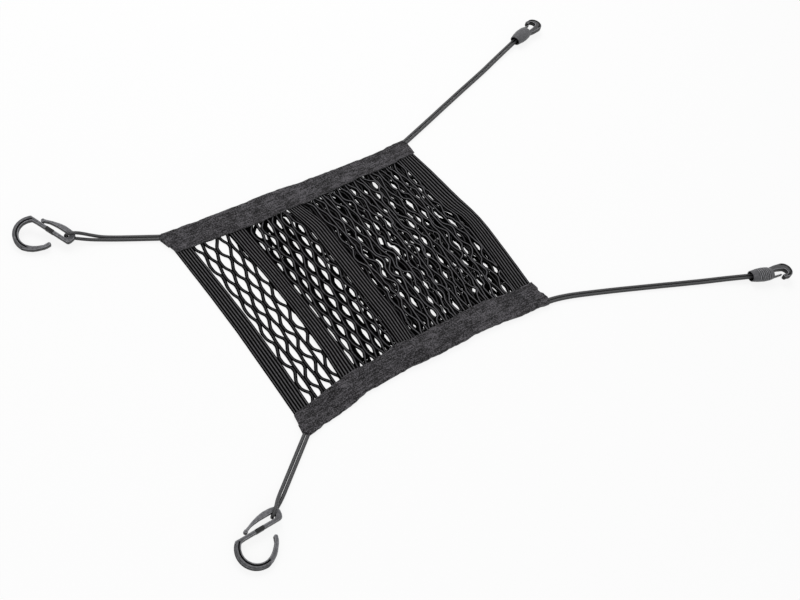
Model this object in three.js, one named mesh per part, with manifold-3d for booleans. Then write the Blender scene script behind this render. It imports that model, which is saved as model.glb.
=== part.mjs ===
// Between-seat storage net: a three-layer elastic net between two woven edge bands,
// held at its corners by elastic cords with two ring hooks and two ferrule hooks.
// Units are millimetres, +Z is up. The panel lies flat on z = 0 with its centre at the origin:
// +X runs along the edge bands, +Y from the near band to the far one.
import * as THREE from 'three';
import Module from 'manifold-3d';
import { mergeVertices } from 'three/addons/utils/BufferGeometryUtils.js';

const wasm = await Module();
wasm.setup();

// ---------------------------------------------------------------- driving dimensions
const SEAM_GAP = 0.3;            // clearance left between two pieces that touch
const NET_THICK = 1.0;           // one net layer
const STRIP_THICK = 1.2;         // a strip at the top of its ribs
const RIB_DEPTH = 0.3;
const RIBS = 6;
const LAYER_STEP = NET_THICK + SEAM_GAP;
const TAPE_THICK = 1.0;          // the single ply of a band that covers the net's ends
const COVER = 9;                 // how far that ply reaches over the net
const TUCK = 7.5;                // how far the net and strips reach under it
const HEM_ROUND = 0.8;           // rounding of a band's folded edge

const CORD_RADIUS = 1.55;
const CORD_SIDES = 8;
const STRAND_OFFSET = 1.66;      // each strand of a pair lies this far from the pair's middle

const NET_CORD = 2.2;            // width of one flat cord of the net
const CONTACT = 2.6;             // half the length along which two net cords touch
const ROW_TOP = 84.5;            // height of the net's row 0, along y
const ROW_PITCH = 14.2;

// Height of the covering ply's underside over one, two and three layers.
const UNDER_1 = STRIP_THICK + SEAM_GAP;
const UNDER_2 = UNDER_1 + LAYER_STEP;
const UNDER_3 = UNDER_2 + LAYER_STEP;
const END_LIFT = 1.5;            // the hem is this much thicker where a cord is sewn in

// ---------------------------------------------------------------- measured tables
// Edge bands. ox, oy is the folded outer edge, ix, iy the inner edge, under the height
// of the covering ply, lift the extra thickness of the hem.
const FAR_BAND = [
  { ox: -149.5, oy: 117.7, ix: -144.0, iy: 98.9, under: UNDER_1, lift: END_LIFT },
  { ox: -146.6, oy: 123.0, ix: -140.5, iy: 98.4, under: UNDER_1, lift: END_LIFT },
  { ox: -129.0, oy: 122.8, ix: -126.0, iy: 97.2, under: UNDER_1, lift: 0 },
  { ox: -107.0, oy: 122.1, ix: -107.0, iy: 96.1, under: UNDER_1, lift: 0 },
  { ox: -97.0, oy: 121.7, ix: -97.0, iy: 95.2, under: UNDER_1, lift: 0 },
  { ox: -91.5, oy: 120.7, ix: -91.5, iy: 94.6, under: UNDER_2, lift: 0 },
  { ox: -72.0, oy: 120.3, ix: -70.0, iy: 93.0, under: UNDER_2, lift: 0 },
  { ox: -48.0, oy: 120.3, ix: -47.0, iy: 93.0, under: UNDER_2, lift: 0 },
  { ox: -30.0, oy: 120.5, ix: -30.0, iy: 93.4, under: UNDER_2, lift: 0 },
  { ox: -22.8, oy: 119.4, ix: -22.8, iy: 93.6, under: UNDER_3, lift: 0 },
  { ox: -4.0, oy: 117.7, ix: -4.0, iy: 92.3, under: UNDER_3, lift: 0 },
  { ox: 12.0, oy: 116.9, ix: 12.0, iy: 92.8, under: UNDER_3, lift: 0 },
  { ox: 39.0, oy: 116.2, ix: 36.0, iy: 93.6, under: UNDER_3, lift: 0 },
  { ox: 70.0, oy: 115.6, ix: 67.0, iy: 94.9, under: UNDER_3, lift: 0 },
  { ox: 97.0, oy: 115.3, ix: 98.0, iy: 94.3, under: UNDER_3, lift: 0 },
  { ox: 118.0, oy: 116.4, ix: 120.0, iy: 96.2, under: UNDER_3, lift: 0 },
  { ox: 140.4, oy: 118.2, ix: 138.6, iy: 97.1, under: UNDER_3, lift: 0 },
  { ox: 142.6, oy: 111.9, ix: 141.4, iy: 97.3, under: UNDER_3, lift: 0 },
];
const NEAR_BAND = [
  { ox: -149.0, oy: -113.2, ix: -146.2, iy: -95.7, under: UNDER_1, lift: END_LIFT },
  { ox: -145.4, oy: -118.3, ix: -142.0, iy: -93.8, under: UNDER_1, lift: END_LIFT },
  { ox: -128.0, oy: -115.9, ix: -128.0, iy: -93.1, under: UNDER_1, lift: 0 },
  { ox: -109.0, oy: -114.5, ix: -109.0, iy: -89.3, under: UNDER_1, lift: 0 },
  { ox: -98.0, oy: -113.3, ix: -98.0, iy: -87.9, under: UNDER_1, lift: 0 },
  { ox: -92.2, oy: -112.2, ix: -92.2, iy: -87.1, under: UNDER_2, lift: 0 },
  { ox: -77.0, oy: -109.4, ix: -75.0, iy: -85.8, under: UNDER_2, lift: 0 },
  { ox: -50.0, oy: -109.3, ix: -51.0, iy: -86.3, under: UNDER_2, lift: 0 },
  { ox: -30.0, oy: -109.4, ix: -30.0, iy: -84.3, under: UNDER_2, lift: 0 },
  { ox: -23.2, oy: -109.8, ix: -23.2, iy: -83.8, under: UNDER_3, lift: 0 },
  { ox: -8.0, oy: -110.8, ix: -7.0, iy: -86.0, under: UNDER_3, lift: 0 },
  { ox: 22.0, oy: -112.7, ix: 19.0, iy: -86.6, under: UNDER_3, lift: 0 },
  { ox: 54.0, oy: -112.3, ix: 54.0, iy: -87.2, under: UNDER_3, lift: 0 },
  { ox: 84.0, oy: -115.3, ix: 78.5, iy: -87.5, under: UNDER_3, lift: 0 },
  { ox: 117.0, oy: -120.0, ix: 117.5, iy: -93.3, under: UNDER_3, lift: 0 },
  { ox: 132.0, oy: -120.7, ix: 132.0, iy: -93.8, under: UNDER_3, lift: 0 },
  { ox: 143.2, oy: -122.7, ix: 138.5, iy: -94.0, under: UNDER_3, lift: 0 },
  { ox: 144.6, oy: -116.1, ix: 142.0, iy: -94.2, under: UNDER_3, lift: 0 },
];

// Ribbed strips, from the near end to the far end.
const STRIP_1 = [
  { y: -100.0, left: -145.4, right: -128.2 },
  { y: -90.0, left: -145.0, right: -127.8 },
  { y: -50.0, left: -143.8, right: -126.0 },
  { y: 0.0, left: -142.6, right: -125.3 },
  { y: 40.0, left: -142.8, right: -126.0 },
  { y: 70.0, left: -143.5, right: -126.9 },
  { y: 98.0, left: -144.2, right: -128.0 },
  { y: 105.0, left: -144.5, right: -128.4 },
];
const STRIP_2 = [
  { y: -93.5, left: -91.4, right: -71.9 },
  { y: -87.0, left: -90.6, right: -71.3 },
  { y: -60.0, left: -87.8, right: -70.0 },
  { y: -30.0, left: -86.5, right: -69.4 },
  { y: 0.0, left: -86.3, right: -69.5 },
  { y: 40.0, left: -86.9, right: -70.6 },
  { y: 70.0, left: -89.0, right: -71.6 },
  { y: 95.0, left: -90.0, right: -72.5 },
  { y: 101.0, left: -90.4, right: -72.7 },
];
const STRIP_3 = [
  { y: -92.0, left: -22.2, right: -5.6 },
  { y: -85.0, left: -21.8, right: -5.0 },
  { y: -50.0, left: -20.5, right: -1.4 },
  { y: -20.0, left: -20.2, right: -2.0 },
  { y: 0.0, left: -20.0, right: -1.5 },
  { y: 60.0, left: -19.5, right: -1.0 },
  { y: 75.0, left: -20.5, right: -2.5 },
  { y: 92.0, left: -22.0, right: -6.0 },
  { y: 100.5, left: -22.4, right: -7.2 },
];
const STRIP_4 = [
  { y: -100.5, left: 121.4, right: 141.0 },
  { y: -92.0, left: 122.0, right: 141.5 },
  { y: -70.0, left: 124.4, right: 144.0 },
  { y: -50.0, left: 127.0, right: 146.2 },
  { y: -20.0, left: 130.0, right: 149.0 },
  { y: -6.0, left: 131.0, right: 149.5 },
  { y: 6.0, left: 131.0, right: 149.5 },
  { y: 20.0, left: 127.5, right: 148.9 },
  { y: 40.0, left: 124.4, right: 147.0 },
  { y: 70.0, left: 122.5, right: 144.3 },
  { y: 97.0, left: 121.0, right: 140.6 },
  { y: 104.0, left: 120.6, right: 140.3 },
];

// Junction columns of the back net between strips 1 and 2: x at the far end, middle and near end.
// Columns with an odd index join their cords in the even rows, the others in the odd rows.
const COLUMNS = [
  { top: -127.0, middle: -124.0, bottom: -126.5 },
  { top: -121.0, middle: -119.6, bottom: -121.0 },
  { top: -116.0, middle: -114.5, bottom: -116.0 },
  { top: -109.5, middle: -109.0, bottom: -110.5 },
  { top: -101.5, middle: -103.8, bottom: -104.6 },
  { top: -95.0, middle: -98.0, bottom: -98.6 },
  { top: -90.5, middle: -93.2, bottom: -93.6 },
  { top: -86.5, middle: -86.8, bottom: -88.6 },
  { top: -80.5, middle: -81.0, bottom: -82.6 },
];
const LAST_ROW = 13;

// The largest gaps that go through all layers, over two layers and over three.
const GAPS_OF_TWO = [
  { x: -64.0, y: 86.0, width: 5.0, length: 9 }, { x: -49.5, y: 84.0, width: 3.4, length: 12 },
  { x: -41.0, y: 80.0, width: 3.4, length: 10 }, { x: -56.0, y: 70.0, width: 3.2, length: 13 },
  { x: -45.0, y: 68.0, width: 3.2, length: 11 }, { x: -25.0, y: 71.0, width: 3.2, length: 12 },
  { x: -62.5, y: 56.0, width: 3.2, length: 13 }, { x: -51.0, y: 54.0, width: 3.2, length: 12 },
  { x: -67.0, y: 41.0, width: 3.0, length: 12 }, { x: -56.0, y: 43.0, width: 3.2, length: 12 },
  { x: -44.5, y: 43.0, width: 4.6, length: 13 }, { x: -34.0, y: 43.0, width: 3.2, length: 12 },
  { x: -24.0, y: 42.0, width: 3.4, length: 13 }, { x: -53.0, y: 28.0, width: 3.0, length: 13 },
  { x: -42.0, y: 27.0, width: 4.6, length: 14 }, { x: -58.0, y: 12.0, width: 3.0, length: 12 },
  { x: -47.5, y: 13.0, width: 3.2, length: 14 }, { x: -35.0, y: 13.0, width: 3.6, length: 13 },
  { x: -23.5, y: 12.0, width: 3.6, length: 13 }, { x: -54.0, y: -2.0, width: 3.2, length: 13 },
  { x: -43.0, y: -2.0, width: 4.6, length: 14 }, { x: -30.5, y: 0.0, width: 4.0, length: 14 },
  { x: -58.5, y: -16.0, width: 3.0, length: 12 }, { x: -47.0, y: -15.0, width: 3.6, length: 13 },
  { x: -53.5, y: -31.0, width: 3.4, length: 12 }, { x: -42.0, y: -29.0, width: 4.6, length: 14 },
  { x: -58.5, y: -44.0, width: 3.2, length: 12 }, { x: -47.0, y: -45.0, width: 4.0, length: 13 },
  { x: -64.5, y: -57.0, width: 3.6, length: 13 }, { x: -53.5, y: -60.0, width: 3.2, length: 13 },
  { x: -41.5, y: -57.0, width: 4.0, length: 13 }, { x: -47.0, y: -74.0, width: 3.0, length: 13 },
  { x: -57.5, y: -73.0, width: 3.2, length: 12 },
];
const GAPS_OF_THREE = [
  { x: 46.0, y: 72.0, width: 3.0, length: 9 }, { x: 94.0, y: 72.0, width: 4.2, length: 12 },
  { x: 104.0, y: 81.0, width: 3.0, length: 11 }, { x: 76.0, y: 54.0, width: 3.0, length: 9 },
  { x: 94.0, y: 45.0, width: 3.6, length: 12 }, { x: 45.0, y: 37.0, width: 3.2, length: 11 },
  { x: 58.5, y: 37.0, width: 3.2, length: 12 }, { x: 20.0, y: 32.0, width: 3.2, length: 12 },
  { x: 45.0, y: 6.0, width: 5.0, length: 12 }, { x: 72.0, y: 8.0, width: 4.6, length: 8 },
  { x: 20.5, y: 0.0, width: 3.2, length: 11 }, { x: 16.0, y: -12.0, width: 4.4, length: 7 },
  { x: 71.0, y: -16.0, width: 4.0, length: 8 }, { x: 105.5, y: -18.0, width: 3.4, length: 10 },
  { x: 77.5, y: -27.0, width: 3.4, length: 10 }, { x: 16.0, y: -42.0, width: 4.4, length: 10 },
  { x: 97.5, y: -40.0, width: 3.0, length: 10 }, { x: 115.0, y: -52.0, width: 4.2, length: 12 },
  { x: 107.0, y: -69.0, width: 3.4, length: 12 }, { x: 113.5, y: -83.0, width: 3.2, length: 9 },
];

// ---------------------------------------------------------------- general helpers
// Value of a column in a table whose rows are sorted by key.
function sample(table, key, at, column) {
  const last = table.length - 1;
  let row = 0;
  while (row < last - 1 && table[row + 1][key] < at) {
    row += 1;
  }
  const a = table[row];
  const b = table[row + 1];
  const share = THREE.MathUtils.clamp((at - a[key]) / (b[key] - a[key]), 0, 1);
  return THREE.MathUtils.lerp(a[column], b[column], share);
}

// A closed body through rings of equally many points, with flat caps on both ends.
function loft(rings) {
  const count = rings[0].length;
  const positions = rings.flat().flatMap((point) => [point.x, point.y, point.z]);
  const index = [];
  for (let ring = 0; ring < rings.length - 1; ring += 1) {
    for (let i = 0; i < count; i += 1) {
      const a = ring * count + i;
      const b = ring * count + ((i + 1) % count);
      index.push(a, b, b + count, a, b + count, a + count);
    }
  }
  const first = rings[0];
  const spanX = Math.abs(first[0].x - first[Math.floor(count / 2)].x);
  const spanY = Math.abs(first[0].y - first[Math.floor(count / 2)].y);
  const flat = first.map((point) => new THREE.Vector2(spanX > spanY ? point.x : point.y, point.z));
  const turn = THREE.ShapeUtils.isClockWise(flat) ? -1 : 1;
  const end = (rings.length - 1) * count;
  for (const [a, b, c] of THREE.ShapeUtils.triangulateShape(flat, [])) {
    const face = turn > 0 ? [a, b, c] : [a, c, b];
    index.push(face[0], face[2], face[1]);
    index.push(end + face[0], end + face[1], end + face[2]);
  }
  const geometry = new THREE.BufferGeometry();
  geometry.setAttribute('position', new THREE.Float32BufferAttribute(positions, 3));
  geometry.setIndex(index);
  return facingOut(geometry);
}

// Turns every face round if the body is inside out.
function facingOut(geometry) {
  const at = geometry.getAttribute('position');
  const index = geometry.getIndex().array;
  const corners = [new THREE.Vector3(), new THREE.Vector3(), new THREE.Vector3()];
  let volume = 0;
  for (let i = 0; i < index.length; i += 3) {
    corners.forEach((corner, k) => corner.fromBufferAttribute(at, index[i + k]));
    volume += corners[0].dot(corners[1].cross(corners[2]));
  }
  if (volume < 0) {
    for (let i = 0; i < index.length; i += 3) {
      const second = index[i + 1];
      index[i + 1] = index[i + 2];
      index[i + 2] = second;
    }
  }
  return geometry;
}

// A flat plate cut to a shape, from z = base upwards.
function plate(shape, base, thickness) {
  const options = { depth: thickness, bevelEnabled: false, curveSegments: 1, steps: 1 };
  return new THREE.ExtrudeGeometry(shape, options).translate(0, 0, base);
}

// The same geometry with its shared corners joined, which booleans need.
function welded(geometry) {
  const bare = geometry.clone();
  bare.deleteAttribute('normal');
  bare.deleteAttribute('uv');
  return mergeVertices(bare, 1e-4);
}

function toManifold(geometry) {
  const joined = welded(geometry);
  const vertProperties = new Float32Array(joined.getAttribute('position').array);
  const triVerts = new Uint32Array(joined.getIndex().array);
  return new wasm.Manifold(new wasm.Mesh({ numProp: 3, vertProperties, triVerts }));
}

function fromManifold(manifold) {
  const mesh = manifold.getMesh();
  const geometry = new THREE.BufferGeometry();
  geometry.setAttribute('position', new THREE.Float32BufferAttribute(mesh.vertProperties, 3));
  geometry.setIndex(new THREE.Uint32BufferAttribute(mesh.triVerts, 1));
  return geometry;
}

// Points on a circle, both ends included; angles in degrees, anticlockwise from +x.
function arc(x, y, radius, from, to, steps) {
  const points = [];
  for (let i = 0; i <= steps; i += 1) {
    const angle = THREE.MathUtils.degToRad(from + ((to - from) * i) / steps);
    points.push(new THREE.Vector2(x + radius * Math.cos(angle), y + radius * Math.sin(angle)));
  }
  return points;
}

function named(name, geometry, material) {
  const mesh = new THREE.Mesh(geometry, material);
  mesh.name = name;
  return mesh;
}

// ---------------------------------------------------------------- edge bands
// Section of a band: a hem that stands on the floor along the outer edge, and a
// single ply that reaches inwards over the ends of the net.
function bandRing(row) {
  const outer = new THREE.Vector2(row.ox, row.oy);
  const inner = new THREE.Vector2(row.ix, row.iy);
  const width = outer.distanceTo(inner);
  const at = (fromOuter, z) => {
    const point = outer.clone().lerp(inner, fromOuter / width);
    return new THREE.Vector3(point.x, point.y, z);
  };
  const seam = width - COVER;
  const plyTop = row.under + TAPE_THICK;
  const hemTop = plyTop + row.lift;
  return [
    at(0, HEM_ROUND),
    at(HEM_ROUND, 0),
    at(seam, 0),
    at(seam, row.under),
    at(width, row.under),
    at(width, plyTop),
    at(seam, plyTop),
    at(HEM_ROUND, hemTop),
    at(0, hemTop - HEM_ROUND),
  ];
}

function band(table) {
  return loft(table.map(bandRing));
}

// ---------------------------------------------------------------- ribbed strips
function stripRing(row, base, thickness) {
  const width = row.right - row.left;
  const points = [];
  for (let i = 0; i <= 2 * RIBS; i += 1) {
    const drop = i % 2 === 0 ? RIB_DEPTH : 0;
    const x = row.left + (width * i) / (2 * RIBS);
    points.push(new THREE.Vector3(x, row.y, base + thickness - drop));
  }
  points.push(new THREE.Vector3(row.right, row.y, base));
  points.push(new THREE.Vector3(row.left, row.y, base));
  return points;
}

function strip(table, layer, layers) {
  const base = layer * LAYER_STEP;
  const thickness = STRIP_THICK + (layers - 1) * LAYER_STEP;
  return loft(table.map((row) => stripRing(row, base, thickness)));
}

// ---------------------------------------------------------------- nets
function rowY(row) {
  return ROW_TOP - ROW_PITCH * row;
}

// x of a junction column at height y, on a parabola through its three stations.
function columnX(index, y) {
  const column = COLUMNS[index];
  const reach = y / ROW_TOP;
  const end = reach > 0 ? column.top : column.bottom;
  return column.middle + (end - column.middle) * reach * reach;
}

// Cuts a convex outline at y = limit, keeping the side towards y = 0.
function clipped(points, limit) {
  const side = Math.sign(limit);
  const kept = [];
  points.forEach((point, i) => {
    const next = points[(i + 1) % points.length];
    const inside = (limit - point.y) * side > 0;
    const nextInside = (limit - next.y) * side > 0;
    if (inside) {
      kept.push(point);
    }
    if (inside !== nextInside) {
      kept.push(point.clone().lerp(next, (limit - point.y) / (next.y - point.y)));
    }
  });
  return kept;
}

// The six-sided hole in a column, between the junctions one row above and one row below.
function latticeHole(column, row) {
  const high = rowY(row - 1) - CONTACT;
  const low = rowY(row + 1) + CONTACT;
  const middle = rowY(row);
  const left = (y) => columnX(column - 1, y) + NET_CORD;
  const right = (y) => columnX(column + 1, y) - NET_CORD;
  return [
    new THREE.Vector2(columnX(column, high), high),
    new THREE.Vector2(left(middle + CONTACT), middle + CONTACT),
    new THREE.Vector2(left(middle - CONTACT), middle - CONTACT),
    new THREE.Vector2(columnX(column, low), low),
    new THREE.Vector2(right(middle - CONTACT), middle - CONTACT),
    new THREE.Vector2(right(middle + CONTACT), middle + CONTACT),
  ];
}

function latticeHoles() {
  const holes = [];
  for (let column = 1; column < COLUMNS.length - 1; column += 1) {
    const firstRow = column % 2 === 1 ? -1 : 0;
    for (let row = firstRow; row <= LAST_ROW; row += 2) {
      const x = columnX(column, rowY(row));
      const far = sample(FAR_BAND, 'ix', x, 'iy') + COVER / 2;
      const near = sample(NEAR_BAND, 'ix', x, 'iy') - COVER / 2;
      const hole = clipped(clipped(latticeHole(column, row), far), near);
      if (hole.length > 2) {
        holes.push(hole);
      }
    }
  }
  return holes;
}

// A long six-sided gap.
function gapHole({ x, y, width, length }) {
  const shoulder = length / 8;
  return [
    new THREE.Vector2(x, y + length / 2),
    new THREE.Vector2(x - width / 2, y + shoulder),
    new THREE.Vector2(x - width / 2, y - shoulder),
    new THREE.Vector2(x, y - length / 2),
    new THREE.Vector2(x + width / 2, y - shoulder),
    new THREE.Vector2(x + width / 2, y + shoulder),
  ];
}

// The free edge of the back net: its first cord swings between strip 1 and column 1.
function zigzagEdge() {
  const edge = [];
  for (let row = LAST_ROW; row >= -1; row -= 1) {
    for (const y of [rowY(row) - CONTACT, rowY(row) + CONTACT]) {
      const onStrip = sample(STRIP_1, 'y', y, 'right') + SEAM_GAP;
      const onColumn = columnX(1, y) - NET_CORD;
      edge.push(new THREE.Vector2(row % 2 === 0 ? onColumn : onStrip, y));
    }
  }
  return edge.slice(1);
}

// A straight-running edge along one side of a strip, over the net's whole length.
function edgeAlong(table, side, offset) {
  return table.map((row) => new THREE.Vector2(row[side] + offset, row.y));
}

// An end of the net under a band, between two x positions.
function tuckedEnd(table, fromX, toX, direction) {
  const between = table.filter((row) => row.ix > fromX + 1 && row.ix < toX - 1);
  const points = [fromX, ...between.map((row) => row.ix), toX];
  return points.map((x) => new THREE.Vector2(x, sample(table, 'ix', x, 'iy') + direction * TUCK));
}

// Outline, anticlockwise: near end, right edge along strip 4, far end, left edge.
function netShape(leftEdge, holes) {
  const rightEdge = edgeAlong(STRIP_4, 'left', -SEAM_GAP).slice(1, -1);
  const nearLeft = leftEdge[0].x;
  const farLeft = leftEdge[leftEdge.length - 1].x;
  const outline = [
    ...tuckedEnd(NEAR_BAND, nearLeft, STRIP_4[0].left - 1, -1),
    ...rightEdge,
    ...tuckedEnd(FAR_BAND, farLeft, STRIP_4[STRIP_4.length - 1].left - 1, 1).reverse(),
    ...leftEdge.slice(1, -1).reverse(),
  ];
  const shape = new THREE.Shape(outline);
  shape.holes = holes.map((points) => new THREE.Path(points));
  return shape;
}

function net(leftEdge, holes, layer) {
  return plate(netShape(leftEdge, holes), layer * LAYER_STEP, NET_THICK);
}

// ---------------------------------------------------------------- cords
// A strand beside the middle line of a pair: side is +1 or -1, points are [x, y, z].
function strand(points, side) {
  const middle = points.map((point) => new THREE.Vector3(...point));
  return middle.map((point, i) => {
    const before = middle[Math.max(i - 1, 0)];
    const after = middle[Math.min(i + 1, middle.length - 1)];
    const sideways = new THREE.Vector3(before.y - after.y, after.x - before.x, 0).normalize();
    return point.clone().addScaledVector(sideways, side * STRAND_OFFSET);
  });
}

// A route that is followed from point to point, so closely set points give short steps.
class Route extends THREE.CatmullRomCurve3 {
  getPointAt(share, target) {
    return this.getPoint(share, target);
  }

  getTangentAt(share, target) {
    return this.getTangent(share, target);
  }
}

function cord(points) {
  const extrudePath = new Route(points, false, 'centripetal');
  const section = new THREE.Shape(arc(0, 0, CORD_RADIUS, 22.5, 337.5, CORD_SIDES - 1));
  const steps = points.length - 1;
  return new THREE.ExtrudeGeometry(section, { steps, extrudePath, bevelEnabled: false });
}

// A cord doubled through a hook's eye. Columns: distance from the band towards the hook,
// distance sideways from the line between them, height.
const LOOP = [
  [0.5, 1.66, 1.6], [14, 1.66, 1.6], [28, 1.66, 1.6], [42, 1.66, 1.6], [53, 1.66, 2.1],
  [62, 1.6, 4.2], [69, 1.3, 7.4], [74, 0.8, 10.1], [77.5, 0.3, 10.8], [80, 0.05, 10.5],
  [81.8, 0, 9.4], [83, 0, 7.9], [83.5, 0, 6.0], [82.9, 0, 3.9], [81.3, 0, 2.2], [79.1, -0.1, 1.6],
  [76, -0.5, 1.6], [70, -1.2, 1.6], [62, -1.6, 1.6], [53, -1.66, 1.6], [42, -1.66, 1.6],
  [28, -1.66, 1.6], [14, -1.66, 1.6], [0.5, -1.66, 1.6],
];

const LOOP_EYE = { distance: 82.9, height: 5.7 };   // the eye's middle, in that table
const BIGHT = 60;                // from this distance on, the loop keeps its shape
const SQUARE = 76;               // and from this one, it runs square to the hook
const SLOT_WALL = 4;             // as far as this above and below the eye's middle

// The loop laid out from a band's corner to the eye of a hook.
function loopPoints(corner, hook) {
  const eye = eyeOf(hook);
  const line = new THREE.Vector3(eye.x - corner.x, eye.y - corner.y, 0);
  const stretch = line.length() - LOOP_EYE.distance;
  const along = line.normalize();
  const across = new THREE.Vector3(along.y, -along.x, 0);
  const square = new THREE.Vector3(0, 0, 1).transformDirection(hook.matrixWorld);
  const lean = new THREE.Vector3(square.x / square.z, square.y / square.z, 0);
  return LOOP.map(([distance, sideways, height]) => {
    const share = Math.min(distance / BIGHT, 1);
    const rise = THREE.MathUtils.clamp(height - LOOP_EYE.height, -SLOT_WALL, SLOT_WALL);
    return new THREE.Vector3(corner.x, corner.y, height + (eye.z - LOOP_EYE.height) * share ** 4)
      .addScaledVector(along, distance + stretch * share)
      .addScaledVector(across, sideways)
      .addScaledVector(lean, rise * THREE.MathUtils.smoothstep(distance, BIGHT, SQUARE));
  });
}

// Middle line of each long pair, from the band's corner into the ferrule: x, y, height.
const FAR_PAIR = [
  [141.9, 115.2, 1.6], [152, 118.3, 1.6], [165, 122.4, 1.6], [181, 127.4, 1.6], [198, 132.8, 1.6],
  [216, 138.6, 1.6], [235, 144.6, 1.6], [253, 150.3, 1.6], [272, 156.2, 1.6], [292, 162.4, 1.6],
  [309, 167.8, 1.7], [324, 172.8, 2.1], [340, 177.9, 2.8], [356, 182.8, 3.8], [366, 185.8, 4.5],
  [373, 187.9, 4.9], [381, 190.2, 5.2],
];
const NEAR_PAIR = [
  [144.4, -119.0, 1.6], [152, -120.5, 1.6], [165, -124.0, 1.6], [178, -128.4, 1.6], [192, -133.7, 1.6],
  [208, -139.9, 1.6], [225, -146.6, 1.6], [241, -153.1, 1.6], [258, -160.0, 1.6], [273, -166.1, 1.6],
  [288, -172.3, 1.6], [302, -178.0, 1.6], [315.4, -183.6, 1.8], [328.2, -188.9, 2.2], [341.4, -194.4, 2.8],
  [356.4, -201.0, 3.7], [365, -204.9, 4.3], [372, -208.1, 4.8], [379.8, -211.4, 5.2],
];

// ---------------------------------------------------------------- ring hook
// Modelled with the spine along +x from the eye end, the ring on its +y side.
const HOOK_THICK = 4.8;
const HOOK_BEVEL = 0.5;
const SPINE = { slotSide: -1.5, ringSide: 1.7 };
const RING = { x: 29.4, y: 11.2, inner: 12.3, outer: 17.4 };
const GROOVE = { inner: 13.4, outer: 14.6, depth: 2.6, from: -50, to: 106 };
const SLOT_END = { x: 5.7, y: -3.8, radius: 2.3 };
const KNOB = { x: 30.4, y: -3.8, radius: 1.75 };
const HOOK_TIP = { x: 12.3, y: 11.5, radius: 1.75 };
const FACET_TURN = 15;           // one facet of the ring's inside, centred opposite the eye

function ringHookShape() {
  const at = (x, y) => new THREE.Vector2(x, y);
  return new THREE.Shape([
    // inner edge of the slot along the spine, then the corner of the ring
    at(37.5, SPINE.slotSide),
    ...arc(RING.x, RING.y, RING.outer, -55, 95, 14),
    // tapering bar with its tip turned back towards the spine
    at(19.6, 24.5),
    at(15.0, 19.6),
    at(11.6, 14.6),
    ...arc(HOOK_TIP.x, HOOK_TIP.y, HOOK_TIP.radius, 180, 360, 5),
    at(17.8, 17.4),
    at(21.8, 20.8),
    // inside of the ring, with one flat facet opposite the eye
    ...arc(RING.x, RING.y, RING.inner, 97.5, -52.5, (97.5 + 52.5) / FACET_TURN),
    at(34.0, SPINE.ringSide),
    at(1.6, SPINE.ringSide),
    // round eye end and the arm
    at(-0.4, 0.6),
    at(-1.3, -1.5),
    at(-1.8, -4.9),
    at(-0.9, -7.9),
    at(1.7, -9.9),
    at(6.0, -10.6),
    at(10.9, -10.8),
    at(16.4, -10.0),
    at(22.4, -8.3),
    at(27.6, -6.2),
    ...arc(KNOB.x, KNOB.y, KNOB.radius, -110, 170, 7),
    at(24.6, -5.1),
    at(16.3, -6.1),
    ...arc(SLOT_END.x, SLOT_END.y, SLOT_END.radius, 270, 90, 6),
  ]);
}

function ringHook() {
  const bar = new THREE.ExtrudeGeometry(ringHookShape(), {
    depth: HOOK_THICK - 2 * HOOK_BEVEL,
    bevelThickness: HOOK_BEVEL,
    bevelSize: HOOK_BEVEL,
    bevelOffset: -HOOK_BEVEL,
    bevelSegments: 1,
    curveSegments: 1,
  }).translate(0, 0, HOOK_BEVEL);
  const channel = new THREE.Shape([
    ...arc(RING.x, RING.y, GROOVE.outer, GROOVE.from, GROOVE.to, 12),
    ...arc(RING.x, RING.y, GROOVE.inner, GROOVE.to, GROOVE.from, 12),
  ]);
  const cutter = plate(channel, HOOK_THICK - GROOVE.depth, GROOVE.depth + 1);
  return fromManifold(toManifold(bar).subtract(toManifold(cutter)));
}

// Lays a hook down: rolled about its own length, tilted, turned on the floor plan, and then
// lowered until its lowest point touches the floor.
function lay(mesh, place) {
  const [roll, tilt, turn] = [place.roll, place.tilt, place.turn].map(THREE.MathUtils.degToRad);
  mesh.rotation.set(place.flipped ? roll + Math.PI : roll, tilt, turn, 'ZYX');
  mesh.position.set(place.x, place.y, 0);
  mesh.position.z = -new THREE.Box3().setFromObject(mesh, true).min.z;
  return mesh;
}

// Middle of the slot's round end, where the cord's bight passes through the hook.
function eyeOf(hook) {
  hook.updateMatrixWorld();
  return new THREE.Vector3(SLOT_END.x, SLOT_END.y, HOOK_THICK / 2).applyMatrix4(hook.matrixWorld);
}

const FAR_HOOK = { x: -222.6, y: 149.1, turn: 115.5, tilt: -5.7, roll: -12.8 };
const NEAR_HOOK = { x: -207.8, y: -166.2, turn: 178.8, tilt: 1.1, roll: -5.0 };
const FAR_CORNER = { x: -148.05, y: 120.2 };
const NEAR_CORNER = { x: -147.2, y: -115.75 };

// ---------------------------------------------------------------- ferrule hook
// Modelled with the ferrule's axis along +x from its mouth, the hook curling to +y.
const FERRULE = [
  { s: 0.0, r: 5.9 },
  { s: 0.8, r: 6.4 },
  { s: 5.8, r: 7.3 },
  { s: 14.8, r: 8.1 },
  { s: 22.0, r: 7.7 },
  { s: 26.3, r: 6.8 },
  { s: 27.8, r: 4.4 },
];
const FERRULE_SIDES = 20;
const FLATTEN = 0.8;             // the ferrule is lower than it is wide
const BORE = { width: 10.2, height: 8.2, depth: 10 };
const BEND = { x: 43.8, y: -0.6, radius: 9.2 };
const CROOK = { x: 42.1, y: 1.5, radius: 3.8 };
const SEAT_TURN = 20;            // half the angle of the flat seat inside the crook
const SMALL_BAR = 5.4;
const SMALL_TIP = { x: 40.0, y: 7.0, radius: 2.3 };
const GATE_HEIGHT = 3.0;

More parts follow.
